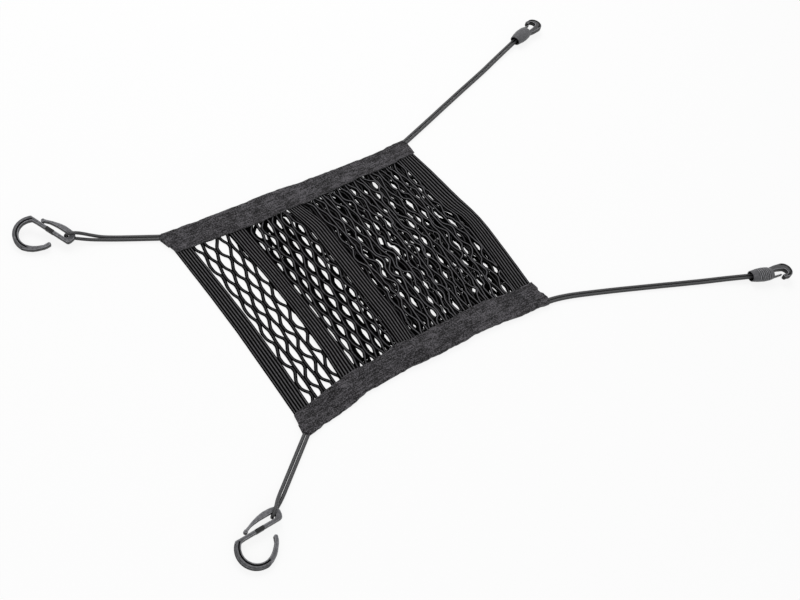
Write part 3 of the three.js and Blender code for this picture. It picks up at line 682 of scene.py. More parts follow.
def cord_mesh(name, line, diameter, hint, both_ends):
    """A round cord along the line, rooted in the tape at its start or at both ends. Its UV is
    metres along it and turns round it, and its painted light runs from 1 on top, a painted highlight,
    to 0 underneath, painted shade."""
    last = len(line) - 1
    roots = {0: -CORD_ROOT, last: CORD_ROOT if both_ends else 0.0}
    bm = bmesh.new()
    layer = bm.loops.layers.uv.new("UVMap")
    mark = bm.verts.layers.float.new("painted_light")
    bmesh.ops.create_grid(bm, x_segments=last, y_segments=CORD_SIDES, size=0.5, calc_uvs=True)
    steps = np.cumsum([0.0] + [(b - a).length for a, b in zip(line, line[1:])])
    for face in bm.faces:
        for loop in face.loops:
            loop[layer].uv.x = float(steps[round(loop[layer].uv.x * last)])
    for vert in bm.verts:
        at = round((vert.co.x + 0.5) * last)
        turn = math.tau * (vert.co.y + 0.5)
        forward = (line[min(at + 1, last)] - line[max(at - 1, 0)]).normalized()
        side = forward.cross(hint).normalized()
        outwards = side * math.cos(turn) + side.cross(forward) * math.sin(turn)
        vert.co = line[at] + outwards * (diameter / 2) + forward * roots.get(at, 0.0)
        # Painted light: pale on the cord's top, dark on its underside.
        vert[mark] = 0.5 + 0.5 * outwards.z
    return mesh_from(welded(bm, 1e-7, fill=True), name, 1.0)


def add_cord(name, side, solid, points, far_end):
    """A cord through the points in place of a solid; far_end says what it ends in: the object, where
    it is rooted in the tape too, or a fitting.
    """
    scene = bpy.context.scene
    diameter = scene.storage_net_sizes.cord_diameter
    line = centre_line(points)
    mesh = cord_mesh(name, line, diameter, SIDE_HINT[side], far_end == "object")
    finish = finish_of("braided_cord", cord_finish, scene.storage_net_colours.cord)
    piece = dress(settled(new_object(name, mesh)), finish, solid)
    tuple(line[0])
    round(length_of(line), 3)


class STORAGENET_OT_cords(bpy.types.Operator):
    """Lays the two looped cords and the two long pairs"""

    bl_idname = "storage_net.cords"
    bl_label = "Elastic cords"

    def execute(self, context):
        for side in SIDES:
            add_cord(f"loop_{side}", side, f"cord_{side}_left",
                     loop_points(CORNERS[side], RING_PLACES[side]), "object")
        for side in SIDES:
            for number, offset in ((1, 1), (2, -1)):
                add_cord(f"strand_{side}_{number}", side, f"cord_{side}_right_{number}",
                         strand(PAIRS[side], offset), "fitting")
        return {"FINISHED"}


# ---------------------------------------------------------------- folded tapes
FOLD = 0.8  # rounding of a solid's folded edge
SEAMS = (5.0, -2.2)  # from the folded edge or, below 0, from the inner one
STITCH_WIDE = 0.22  # half of a stitch's width and height
STITCH_HIGH = 0.17
TAPE_GRID = (44, 190)  # faces across and along a tape
UPPER_SHARE = 0.56  # of a section: its upper ply, then its fold
FOLD_SHARE = 0.08
FALL = (0.45, 0.7)  # the upper ply falls between these shares of the width
SEAM_DIP = 0.34
END_CLOSES = (0.5, 5.0)  # at a tape's ends its plies close, fully up to the first distance
HEM_KEEPS = (6.5, 10.0)  # but not in its hem, up to the first distance from the fold
END_CALM = (2.0, 14.0)  # the fold runs straight up to the first distance from an end
SWAYS = ((0.6, 0.19, 3), (0.8, 0.06, 5))  # of the fold: width, waves a millimetre, seed


class Tape:
    """The sections of one tape, read from its solid in the frame."""

    def __init__(self, name):
        self.name = name
        self.pucker = bpy.context.scene.storage_net_sizes.pucker / MM
        columns = {}
        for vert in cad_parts[name].data.vertices:
            x, y, z = (round(value / MM, 2) for value in vert.co)
            columns.setdefault((x, y), []).append(z)
        outer = []
        inner = []
        for (x, y), heights in columns.items():
            if abs(min(heights) - FOLD) < 0.05:
                outer.append((x, y, max(heights) + FOLD))
            elif min(heights) > FOLD + 0.1 and max(heights) - min(heights) > PLY / 2:
                inner.append((x, y, max(heights)))
        self.outer = np.array(sorted(outer))
        self.inner = np.array(sorted(inner))
        if len(self.outer) != len(self.inner):
            raise RuntimeError(f"{name}: its outer and inner edges don't match")
        steps = np.linalg.norm(np.diff(self.outer[:, :2], axis=0), axis=1)
        self.stations = np.concatenate([[0], np.cumsum(steps)]) / steps.sum()
        self.length = float(steps.sum())

    def section(self, v):
        """Outer and inner points (x, y and top height) of the section at share v of the length,
        the direction from one to the other and the width between them."""
        outer, inner = (Vector([float(np.interp(v, self.stations, edge[:, k])) for k in range(3)])
                        for edge in (self.outer, self.inner))
        flat = Vector((inner.x - outer.x, inner.y - outer.y, 0))
        return outer, inner, flat / flat.length, flat.length

    def top(self, v, depth, width, outer, inner):
        """Height of the upper ply's middle at a distance from the folded edge. The ply falls
        towards its inner edge, closes at the tape's ends and dips along its seams."""
        along = v * self.length
        fall = smooth(depth / width, *FALL)
        crest = outer.z * (1 - fall) + inner.z * fall
        closing = 1 - smooth(min(along, self.length - along), *END_CLOSES)
        closing *= smooth(depth, *HEM_KEEPS)
        low = PLY * 1.5 if depth < width - COVER else inner.z - PLY * 0.5
        height = (crest - PLY / 2) * (1 - closing) + (low + 0.1) * closing
        seams = math.exp(-((depth - width - SEAMS[1]) / 0.9) ** 2)
        seams += 0.8 * math.exp(-(depth - SEAMS[0]) ** 2)
        waves = 1.1 * wobble(along * 0.11, depth * 0.13, self.length * 0.01)
        waves += 0.6 * wobble(along * 0.34, depth * 0.1, 7)
        return height - SEAM_DIP * seams + self.pucker * waves

    def place(self, u, v):
        """A point of the tape's middle surface: u runs from the upper ply's inner edge round the
        fold to the lower ply's edge."""
        outer, inner, inwards, width = self.section(v)
        along = v * self.length
        sway = sum(size * wobble(along * rate, seed, self.length) for size, rate, seed in SWAYS)
        sway *= smooth(min(along, self.length - along), *END_CALM)
        floor = PLY / 2
        if u <= UPPER_SHARE:
            depth = width * (1 - u / UPPER_SHARE) + PLY * (u / UPPER_SHARE)
            height = self.top(v, depth, width, outer, inner)
            depth += 0.2 * wobble(along * 0.4, 9, 1) * smooth(depth, width - 6, width)
        elif u <= UPPER_SHARE + FOLD_SHARE:
            turn = math.pi * (u - UPPER_SHARE) / FOLD_SHARE
            crest = self.top(v, PLY, width, outer, inner)
            height = (crest + floor) / 2 + (crest - floor) / 2 * math.cos(turn)
            depth = PLY - PLY / 2 * math.sin(turn)
        else:
            share = (u - UPPER_SHARE - FOLD_SHARE) / (1 - UPPER_SHARE - FOLD_SHARE)
            height = floor
            depth = PLY + (width - COVER - PLY) * share
        return Vector((outer.x, outer.y, height)) + inwards * (depth - sway)

    def flat_width(self):
        """Width of the tape before it was folded, half way along."""
        outer, _, _, width = self.section(0.5)
        return width + outer.z - PLY + width - COVER


def stitches(tape, pitch):
    """Lines of short thread bars along a tape's seams."""
    bm = bmesh.new()
    count = round(tape.length * MM / pitch)
    size = Matrix.Diagonal((pitch / MM * 0.36, STITCH_WIDE, STITCH_HIGH, 1))
    for seam in SEAMS:
        for i in range(1, count - 1):
            v = (i + 0.5) / count
            outer, inner, inwards, width = tape.section(v)
            depth = seam if seam > 0 else width + seam
            height = tape.top(v, depth, width, outer, inner) + PLY / 2
            forward = tape.section(min(v + 0.004, 1))[0] - outer
            turned = Matrix.Rotation(math.atan2(forward.y, forward.x), 4, "Z")
            at = Vector((outer.x, outer.y, height + 0.02)) + inwards * depth
            bmesh.ops.create_uvsphere(bm, u_segments=6, v_segments=4, radius=1.0,
                                      matrix=Matrix.Translation(at) @ turned @ size)
    return mesh_from(bm, "stitching")


class STORAGENET_OT_tapes(bpy.types.Operator):
    """Folds the far and near tapes over the ends of the net and sews them"""

    bl_idname = "storage_net.tapes"
    bl_label = "Folded tapes"

    def execute(self, context):
        sizes = context.scene.storage_net_sizes
        colour = context.scene.storage_net_colours.tape
        woven = finish_of("woven_tape", tape_finish, colour)
        thread = finish_of("thread", thread_finish, dark(colour, 0.6))
        for side in SIDES:
            tape = Tape("band_" + side)
            piece = new_object("tape_" + side, cloth(tape.name, *TAPE_GRID, tape.place, closed=False))
            thicken = piece.modifiers.new("ply", "SOLIDIFY")
            thicken.thickness = PLY * MM
            thicken.offset = 0.0
            thicken.use_even_offset = True
            settled(applied(piece)).data.shade_smooth()
            seam = new_object("stitching_" + side, stitches(tape, sizes.stitch_pitch))
            dress(piece, woven, tape.name)
            dress(seam, thread)
            tape.flat_width() * MM
        return {"FINISHED"}


# ---------------------------------------------------------------- ribbed strips
class Strip:
    """The edges of one ribbed strip, read from its solid in the frame."""

    def __init__(self, number):
        rows = {}
        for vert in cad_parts[f"strip_{number}"].data.vertices:
            rows.setdefault(round(vert.co.y / MM, 2), []).append(vert.co.x / MM)
        self.y = np.array(sorted(rows))
        self.left = np.array([min(rows[y]) for y in self.y])
        self.right = np.array([max(rows[y]) for y in self.y])
        self.length = float(self.y[-1] - self.y[0])

    def edges(self, y):
        return float(np.interp(y, self.y, self.left)), float(np.interp(y, self.y, self.right))


STRIPS = {number: Strip(number) for number in (1, 2, 3, 4)}
# Strips that show: name, the solid it stands for, layer, sideways shift of its edges.
STRIP_PIECES = [
    ("strip_1_ribs", 1, 0, 0.0), ("strip_2_ribs", 2, 1, 0.0), ("strip_3_ribs", 3, 2, 0.0),
    ("strip_4_lower", 4, 0, 0.0), ("strip_4_middle", 4, 1, -0.25), ("strip_4_upper", 4, 2, -0.1),
]
# How far the top plies of strips 3 and 4 bend sideways: along y, then how far.
STRIP_BENDS = {
    3: ([-112, -60, 66, 92], [-0.6, 0.4, 1.0, -2.0]),
    4: ([-100, -40, -5, 8, 24, 50, 100], [0, 0.4, 0.8, 0.2, -1.0, -0.6, 0.4]),
}
RIB_FACES = 8  # faces across one rib
STRIP_FACES = 110  # and along a strip
TOP_LAYER = 2


def strip_mesh(name, number, layer, shift, depth):
    strip = STRIPS[number]
    steps = RIBS * RIB_FACES

    def place(u, v):
        step = round(u * 2 * steps) % (2 * steps)
        y = float(strip.y[0]) + strip.length * v
        left, right = strip.edges(y)
        above = step <= steps
        share = step / steps if above else 2 - step / steps
        half = STRIP_THICK / 2 - depth * math.cos(math.pi * share * RIBS) ** 2
        if step in (0, steps):
            half = 0
        wander = 0.12 * wobble(y * 0.09, share * 5, number + layer * 3)
        if layer == TOP_LAYER:
            wander += float(np.interp(y, *STRIP_BENDS[number]))
        ripple = 0.1 * wobble(y * 0.05, share * 2, number * 7 + layer)
        x = left + (right - left) * share + shift + wander
        middle = layer * LAYER_STEP + STRIP_THICK / 2 + (ripple if layer else 0)
        return Vector((x, y, middle + (half if above else -half)))

    return cloth(name, 2 * steps, STRIP_FACES, place)


class STORAGENET_OT_strips(bpy.types.Operator):
    """Lays the ribbed strips along the net's layers"""

    bl_idname = "storage_net.strips"
    bl_label = "Ribbed strips"

    def execute(self, context):
        depth = context.scene.storage_net_sizes.rib_depth / MM
        finish = finish_of("ribbed_strip", strip_finish, context.scene.storage_net_colours.strip)
        for name, number, layer, shift in STRIP_PIECES:
            piece = new_object(name, strip_mesh(name, number, layer, shift, depth))
            dress(piece, finish, f"strip_{number}")
        return {"FINISHED"}


# ---------------------------------------------------------------- netting
CONTACT = 1.6  # half the length along which two net cords touch
LEAN = 2.0  # cords that run right towards the near end start steeply
TOUCH = 1.2  # half the distance between two touching cords' middles
ROW_TOP = 84.5  # y of the net's row 0
ROW_PITCH = 14.2
ROWS = range(-3, 19)  # rows of junctions, some of them beyond the tapes
HEIGHTS = np.arange(-105, 112, 1.6)  # y of the points of every net cord

# Junction columns of the back net between strips 1 and 2: x at the far end, middle and near end.
# Columns with an odd index join their cords in the even rows, the others in the odd rows.
COLUMNS = [
    (-127.0, -124.0, -126.5), (-121.0, -119.6, -121.0), (-116.0, -114.5, -116.0),
    (-109.5, -109.0, -110.5), (-101.5, -103.8, -104.6), (-95.0, -98.0, -98.6),
    (-90.5, -93.2, -93.6), (-86.5, -86.8, -88.6), (-80.5, -81.0, -82.6),
]

# Gaps through two layers, row by row from the far end: x of the gap's middle, its width.
DOUBLE_GAPS = [
    [(-64.3, 4.6), (-50.3, 2.2), (-40.4, 2.4), (-30.0, 1.2)],
    [(-69.0, 1.4), (-55.9, 2.6), (-45.4, 1.9), (-34.5, 0.4), (-23.6, 2.6)],
    [(-62.7, 2.2), (-51.3, 2.0), (-40.0, 2.0), (-28.8, 2.9)],
    [(-67.7, 1.8), (-56.3, 2.4), (-45.0, 3.8), (-33.5, 3.0), (-22.7, 3.2)],
    [(-63.0, 2.2), (-52.5, 1.8), (-41.5, 4.2), (-30.0, 3.0)],
    [(-68.2, 1.3), (-58.0, 2.0), (-47.5, 3.2), (-34.9, 3.4), (-22.8, 3.4)],
    [(-64.3, 1.0), (-54.0, 2.4), (-42.8, 4.5), (-30.2, 4.8)],
    [(-68.8, 1.2), (-58.7, 1.8), (-47.0, 3.6), (-35.5, 2.0), (-24.6, 3.0)],
    [(-64.0, 2.4), (-53.3, 2.8), (-42.0, 3.8), (-31.0, 2.8)],
    [(-69.0, 1.6), (-58.2, 3.6), (-47.0, 3.6), (-35.4, 1.6), (-25.4, 1.6)],
    [(-64.4, 3.8), (-53.3, 2.6), (-41.3, 3.6), (-30.2, 0.9)],
    [(-69.4, 2.6), (-57.8, 2.8), (-47.2, 2.8), (-37.0, 1.7), (-26.4, 1.7)],
    [(-65.2, 2.2), (-52.6, 2.0), (-41.6, 1.2), (-31.0, 0.6)],
]
GAP_SHARE = 0.38  # of a gap's width, on each side of its middle

# Gaps through three layers: x, y, width, length, slant (x per y).
TRIPLE_GAPS = [
    (52.2, 84, 1.9, 6, 0), (62.7, 78.5, 2.1, 8, 0), (38.2, 72.5, 1.6, 6, 0), (46.3, 72, 1.9, 10, 0),
    (58.5, 62.5, 1.6, 6, 0), (20.2, 58.5, 1.9, 10, 0), (41, 54.5, 1.8, 7, 0), (65.5, 49, 1.6, 5, 0),
    (14.3, 42, 1.7, 7, 0), (26, 42.5, 2.2, 9, 0), (38.7, 42, 1.8, 6, 0), (45, 36.5, 2.6, 12, 0),
    (58.5, 37.5, 2.1, 13, -0.15), (20.3, 31.5, 2.8, 13, 0), (33.3, 33, 1.5, 8, 0),
    (7.2, 27.5, 1.6, 6, 0), (37.5, 21, 3.3, 10, 0.15), (51, 24, 1.9, 8, 0), (41.7, 12.5, 2.2, 9, 0.15),
    (45.6, 4.5, 4.2, 12, 0), (60, 7, 2.2, 9, 0), (10.7, 1.5, 1.7, 6, 0), (20.6, -0.5, 2.6, 12, 0),
    (15.9, -13, 3.4, 10, 0.2), (28.5, -18, 2.0, 8, 0), (7.5, -27.5, 2.0, 8, 0),
    (24.5, -27, 2.4, 7.5, 0), (36.8, -26.5, 1.9, 7.5, 0), (51.5, -30, 2.0, 10, 0),
    (66, -4.5, 2.8, 8, 0), (63.7, -27.5, 2.0, 7, 0), (16, -41.5, 3.6, 10, 0), (32.6, -43.5, 1.8, 8, 0),
    (44.2, -44, 2.5, 8, 0), (56.8, -45, 2.2, 9, 0.1), (21.7, -53, 2.0, 12, 0), (36.2, -60, 2.0, 9, 0),
    (50, -59, 1.9, 10, 0), (62.9, -58, 2.0, 5, 0), (29.8, -73, 1.9, 10, 0), (41.5, -77, 2.4, 6, 0),
    (55, -78, 2.4, 13, 0), (5.3, -75, 1.7, 6, 0), (15.5, -77, 1.6, 6, 0), (76.2, 80.5, 2.0, 11, 0),
    (71.3, 68, 2.0, 7, 0), (94, 71.5, 3.8, 12, 0), (104.3, 80, 2.0, 12, 0), (98.8, 86.5, 1.8, 4, 0),
    (98.4, 62, 2.0, 8, 0), (109.6, 68, 1.5, 6, 0), (77, 53, 2.7, 9, 0), (116.8, 55, 1.7, 7, 0),
    (94.4, 44.5, 3.0, 13, 0), (84.2, 34, 1.5, 7, 0), (78.7, 22.5, 2.0, 11, 0), (100.5, 28, 1.8, 7, 0),
    (90.3, 24.5, 1.6, 7, 0), (111, 21.5, 1.9, 10, 0), (95.3, 16, 1.9, 8, 0), (72.7, 8, 3.9, 9, 0),
    (79, 0, 2.3, 9, 0.15), (119, 5.5, 2.8, 10, 0), (70.5, -16, 3.8, 9, 0), (106, -18, 2.4, 12, -0.15),
    (78, -27, 2.6, 12, 0), (94.8, -24, 1.9, 9, 0), (109.5, -30, 1.8, 8, 0), (86.4, -38, 1.6, 9, 0),
    (97.8, -41, 1.9, 11, 0), (109.6, -43, 1.9, 10, 0), (70.2, -43, 3.4, 8, 0),
    (123.5, -32, 1.8, 9, 0), (115, -54, 3.8, 12, 0), (121.3, -63, 1.8, 9, 0), (95.7, -67, 1.9, 11, 0),
    (107.5, -70, 2.0, 13, 0), (74.3, -65, 1.9, 5, 0), (83.5, -72, 1.6, 6, 0), (113.8, -84, 2.8, 9, 0),
]
GAP_ROUNDS = 70  # rounds of moving the cords out of these gaps
SPREADS = 3  # spreads to the cords' width apart, each round
HOME_PULL = 0.2  # share of the way back to their places, each round
EDGE_ROOM = 0.35  # clearance between such a gap and the cords beside it

# Columns of the cords that lie under strips 2 and 3.
UNDER_STRIP_2 = (-81, -76, -71)
UNDER_STRIP_3 = (-18, -12.5, -7, -2)
ZONE_STEPS = 24  # junction columns between strips 3 and 4
BENDS = (0.8, 1.6, 6.0)  # how far each layer's cords wander sideways there
LAYERS = ("net_back", "net_middle", "net_front")
OPEN_PAINTED_HIGHLIGHTS = (0.66, 0.85, 1.0)  # painted highlight on each layer's ridges where it lies on top
# Painted shade on each layer's ridges where they face another layer.
BURIED_PAINTED_SHADE = (0.32, 0.68, 0.3)


def cord_half():
    """Half the width of a net cord."""
    return bpy.context.scene.storage_net_sizes.net_cord_width / MM / 2


def row_y(row):
    return ROW_TOP - ROW_PITCH * row


def zigzag(columns, first=0, stagger=0.0, seed=0):
    """Cords between neighbouring junction columns: columns[k](row) is a junction's x, and a column
    joins its cords in the rows of the other parity than first + k. Junctions leave their rows by
    up to stagger, a share of the row pitch."""
    cords = []
    for k in range(len(columns) - 1):
        along = []
        across = []
        for row in ROWS:
            on_left = (row + k + first) % 2 == 1
            at = k if on_left else k + 1
            middle = row_y(row + stagger * wobble(at * 1.7, row * 0.9, seed + 0.5))
            along += [-middle - CONTACT, -middle + CONTACT]
            across.append(columns[at](row) + (TOUCH if on_left else -TOUCH))
        level = np.interp(-HEIGHTS, along, np.repeat(np.arange(len(ROWS)), 2))
        below = np.clip(level.astype(int), 0, len(ROWS) - 2)
        share = level - below
        share = share * (1 + share * (3 - 2 * share)) / 2
        across = np.array(across)
        low, high = across[below], across[below + 1]
        share = np.where(high > low, share**LEAN, share)
        cords.append(low * (1 - share) + high * share)
    return np.array(cords)


def curved_column(far, middle, near):
    """A junction column on a parabola through its three stations, whose rows step to and fro,
    more towards the near tape."""
    def column(row):
        reach = row_y(row) / ROW_TOP
        end = far if reach > 0 else near
        step = 1.1 * smooth(0.5 - reach / 2, 0.25, 0.8) * (-1) ** row
        return middle + (end - middle) * reach * reach + step

    return column


def hidden_columns(places):
    """Nearly straight junction columns, of the cords under a strip."""
    return [lambda row, x=x: x + 0.2 * math.sin(row * 2) for x in places]


def gap_columns(side):
    """Junction columns -1 to 9 of one layer between strips 2 and 3: the back net's junctions bound
    the listed gaps on their left (side -1), the middle net's on their right (side 1)."""
    def column(k, row):
        if k < 0:
            return STRIPS[2].edges(row_y(row))[1] + side * 0.8
        if k > 8:
            return STRIPS[3].edges(row_y(row))[0] + 0.8
        wanted = row if (row + k) % 2 == 1 else row + 1
        wanted = min(max(wanted, 0), len(DOUBLE_GAPS) - 1)
        if (wanted + k) % 2 == 0:
            wanted -= 1
        gaps = DOUBLE_GAPS[wanted]
        x, width = gaps[min(k // 2, len(gaps) - 1)]
        return x + side * (width * GAP_SHARE + TOUCH + cord_half())

    return [partial(column, k) for k in range(-1, 10)]


def even_columns(layer):
    """Junction columns of one layer between strips 3 and 4, half a step on from the layer below;
    their bends run side by side, and most in the front layer."""
    def column(k, row):
        y = row_y(row)
        low = STRIPS[3].edges(y)[1]
        high = STRIPS[4].edges(y)[0]
        share = (k + layer / 2 - 0.5) / ZONE_STEPS
        sway = wobble(k * 0.3, row * 0.85, 2.5)
        bend = wobble(k * 0.24, row * 0.9, layer * 5.0)
        return low + (high - low) * share + 1.5 * sway + BENDS[layer] * bend

    return [partial(column, k) for k in range(ZONE_STEPS + 1)]


def clear_of_gaps(cords):
    """Moves the cords of a layer out of the gaps, keeping their order and their width apart."""
    home = cords.copy()
    apart = 2 * TOUCH * 0.97
    gaps = []
    for x, y, wide, long, slant in TRIPLE_GAPS:
        reach = np.abs(HEIGHTS - y) < long / 2
        side = np.sign(home[:, reach].mean(axis=1) - x)[:, None]
        up = HEIGHTS[reach] - y
        open_share = np.clip(1.5 * (1 - np.abs(up) / (long / 2)), 0, 1)
        gaps.append((reach, side, x + slant * up, (wide / 2 + EDGE_ROOM) * open_share + cord_half()))
    for _ in range(GAP_ROUNDS):
        cords = cords + HOME_PULL * (home - cords)
        cords[:, 1:-1] = (cords[:, :-2] + 2 * cords[:, 1:-1] + cords[:, 2:]) / 4
        for _ in range(SPREADS):
            short = np.maximum(apart - np.diff(cords, axis=0), 0) / 2
            cords[1:] += short
            cords[:-1] -= short
        for reach, side, middle, opening in gaps:
            offset = (cords[:, reach] - middle) * side
            cords[:, reach] = middle + side * np.maximum(offset, opening)
    return cords


def between_tapes(cords, left, right, tapes):
    """Cuts every cord to the stretch between the tapes, with its x limited to a zone."""
    runs = []
    for cord in cords:
        run = []
        for x, y in zip(cord, HEIGHTS):
            x = max(x, left(y)) if left else x
            x = min(x, right(y)) if right else x
            far, near = (np.interp(x, tape.inner[:, 0], tape.inner[:, 1]) for tape in tapes)
            if near - TUCK < y < far + TUCK:
                run.append((x, y))
        runs.append(run)
    return runs


def beside(number, side, gap):
    """x of a line along one side (0 left, 1 right) of a strip, at a distance."""
    return lambda y: STRIPS[number].edges(y)[side] + gap


def net_section():
    """Section of a flat cord with a raised crest along each face, from its left side clockwise."""
    high = NET_THICK / 2
    face = [(-1, 0), (-0.9, high * 0.4), (-0.46, high * 0.5), (-0.27, high),
            (0.27, high), (0.46, high * 0.5), (0.9, high * 0.4), (1, 0)]
    face = [(x * cord_half(), y) for x, y in face]
    return face + [(x, -y) for x, y in face[-2:0:-1]]


def paint_net_light(mesh, layer):
    """Paints light onto the ridges' tops: a painted highlight where a layer lies open to one side,
    painted shade where it faces another layer; the sides keep 0, painted shade.
    """
    middle = layer * LAYER_STEP + NET_THICK / 2
    edges = [STRIPS[number].edges(0)[0] for number in (2, 3)]
    marks = mesh.attributes.new("painted_light", "FLOAT", "POINT")
    for vert, mark in zip(mesh.vertices, marks.data):
        x, _, z = vert.co / MM
        rise = (z - middle) / NET_THICK
        zone = (x > edges[0]) + (x > edges[1]) if rise > 0 else 0
        if abs(rise) > 0.4:
            mark.value = OPEN_PAINTED_HIGHLIGHTS[zone] if zone == layer else BURIED_PAINTED_SHADE[layer]


def net_runs(layer, tapes):
    """The cords of a layer as runs of points, zone by zone and under the strips."""
    zones = []
    if layer == 0:
        cords = zigzag([curved_column(*stations) for stations in COLUMNS], stagger=0.12)
        zones.append((cords, beside(1, 1, cord_half() * 0.8), None))
        zones.append((zigzag(hidden_columns(UNDER_STRIP_2)), None, None))
    if layer < 2:
        cords = zigzag(gap_columns(1 if layer else -1), first=-1, stagger=0.16)
        limits = (beside(2, 1, 1.0), beside(3, 0, 1.5)) if layer else (None, None)
        zones.append((cords, *limits))
        zones.append((zigzag(hidden_columns(UNDER_STRIP_3)), None, None))
    cords = clear_of_gaps(zigzag(even_columns(layer), stagger=0.3, seed=layer * 7))
    zones.append((cords, beside(3, 1, TOUCH), beside(4, 0, -TOUCH)))
    base = layer * LAYER_STEP + NET_THICK / 2
    runs = [run for zone in zones for run in between_tapes(*zone, tapes) if len(run) > 3]
    return [[(x, y, base) for x, y in run] for run in runs]


class STORAGENET_OT_netting(bpy.types.Operator):
    """Lays the cords of the back, middle and front nets"""

    bl_idname = "storage_net.netting"
    bl_label = "Netting"

    def execute(self, context):
        finish = finish_of("netting", net_finish, context.scene.storage_net_colours.netting)
        tapes = [Tape("band_" + side) for side in SIDES]
        for layer, name in enumerate(LAYERS):
            runs = net_runs(layer, tapes)
            mesh = ribbons(name + "_cords", runs, net_section())
            paint_net_light(mesh, layer)
            piece = dress(new_object(name + "_cords", mesh), finish, name)
            low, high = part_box(name)
            covered = sum(length_of([Vector(point) for point in run]) for run in runs)
        return {"FINISHED"}


# ---------------------------------------------------------------- hooks
def lying(x, y, z, turn, tilt, roll):
    """A hook's place: rolled about its length, tilted, turned on the floor plan and raised."""
    turned = Matrix.Rotation(math.radians(turn), 4, "Z")
    tilted = Matrix.Rotation(math.radians(tilt), 4, "Y")
    rolled = Matrix.Rotation(math.radians(roll), 4, "X")
    return Matrix.Translation((x, y, z)) @ turned @ tilted @ rolled


RING_PLACES = {
    "far": lying(-222.6, 149.1, 3.3993, 115.5, -5.7, -12.8),
    "near": lying(-207.8, -166.2, 3.0445, 178.8, 1.1, -5.0),
}
FERRULE_PLACES = {
    "far": lying(372.8, 187.2, 6.2606, 15.6, -0.8, -3.5),
    "near": lying(371.7, -209.0, 5.8643, -21.0, -2.3, 175.9),
}
# Painted highlight on a moulding's rims.
RIM_HIGHLIGHT = 0.95
# Painted light of a moulding's faces: flat ones middling, a painted highlight on the rims, painted
# shade on slopes and sides. Each is for faces whose normal rises by more than the first number.
MARKS = ((0.98, 0.62), (0.85, RIM_HIGHLIGHT), (0.5, 0.35), (-1.0, 0.12))
CROOK_MARK = 0.36  # painted light at most, on the ferrule hook's crook beside its rims
# Painted shade inside the ferrule's bore.
BORE_SHADE = 0.05
PLAIN_MARK = 0.55  # painted light on the ferrule beside its rings


def paint_face_light(bm, grooved=None, on_ferrule=None):
    """Paints light and shade onto a moulding's faces. grooved tells whether a place lies in a groove,
    which gets black painted shade; on_ferrule gives the painted light of a place on the ferrule."""
    bm.normal_update()
    layer = bm.faces.layers.float.new("painted_light")
    for face in bm.faces:
        centre = face.calc_center_median()
        mark = next(mark for least, mark in MARKS if abs(face.normal.z) > least)
        if on_ferrule:
            mark = on_ferrule(centre, mark)
        face[layer] = 0.0 if grooved and grooved(centre) else mark


def moulding(name, bm, place, finish, solid=None):
    """A moulded piece where it lies, from its bmesh in the hook's own frame."""
    bmesh.ops.transform(bm, matrix=place, verts=bm.verts)
    return dress(settled(new_object(name, mesh_from(bm, name))), finish, solid)


# The ring hook, modelled with the spine along +x from the eye end and the ring on its +y side.
HOOK_THICK = 4.8
HOOK_ROUND = 0.6
RING = (29.4, 11.2)
RING_INNER = 12.3
RING_OUTER = 17.4
SLOT_END = (5.7, -3.8)
KNOB = (30.4, -3.8)
HOOK_TIP = (12.3, 11.5)
GROOVE = (13.4, 14.7, -50, 106)  # of the groove in the ring's upper face: radii and angles
GROOVE_DEPTH = 2.6
STEP = (16.2, 18.5, -40, 96)  # the same of the lowered outer rim
STEP_DEPTH = 0.9
PAD = (8.0, 3.5, 5.5)  # the pad's size, and its middle
PAD_AT = (20.2, 0.15, 2.4)


def ring_outline():
    """Outline of the ring hook: the ring from the spine round to its tip and back inside it, the
    spine, the eye's end and the free end of its slot, which ends in a knob."""
    return [
        (37.5, -1.5),
        *arc(*RING, RING_OUTER, -47, 95, 44),
        (23.4, 26.9), (19.6, 24.5), (17.2, 22.2), (15.0, 19.6), (13.1, 17.2), (11.6, 14.6),
        *arc(*HOOK_TIP, 1.75, 180, 360, 12),
        (15.4, 14.9), (17.8, 17.4), (19.7, 19.3), (21.8, 20.8), (24.6, 22.4),
        *arc(*RING, RING_INNER, 97.5, -48, 44),
        (34.0, 1.7), (1.6, 1.7), (0.4, 1.4), (-0.4, 0.6), (-1.3, -1.5), (-1.8, -4.9), (-0.9, -7.9),
        (0.2, -9.1), (1.7, -9.9), (3.8, -10.4), (6.0, -10.6), (10.9, -10.8), (16.4, -10.0),
        (22.4, -8.3), (27.6, -6.2),
        *arc(*KNOB, 1.75, -110, 170, 16),
        (24.6, -5.1), (20.6, -5.7), (16.3, -6.1),
        *arc(*SLOT_END, 2.3, 270, 90, 14),
    ]


def ring_hook():
    body = rounded_plate(ring_outline(), HOOK_THICK, HOOK_ROUND)
    groove = arc_slab(RING, *GROOVE, HOOK_THICK - GROOVE_DEPTH, HOOK_THICK + 1)
    step = arc_slab(RING, *STEP, HOOK_THICK - STEP_DEPTH, HOOK_THICK + 1)
    body = combined(body, [groove, step], "DIFFERENCE")

    # Faces in the ring's groove get black painted shade.
    def grooved(centre):
        inside = GROOVE[0] - 0.1 < math.dist(centre.xy, RING) < GROOVE[1] + 0.1
        return inside and -GROOVE_DEPTH - 0.1 < centre.z - HOOK_THICK < -0.4

    paint_face_light(body, grooved)
    return body


def spine_pad():
    """The dark pad that is moulded onto the spine."""
    bm = bmesh.new()
    size = Matrix.Translation(PAD_AT) @ Matrix.Diagonal((*PAD, 1))
    bmesh.ops.create_cube(bm, size=1.0, matrix=size)
    bmesh.ops.bevel(bm, geom=list(bm.edges), offset=0.6, segments=3, profile=0.5, affect="EDGES",
                    material=-1)
    paint_face_light(bm)
    return bm


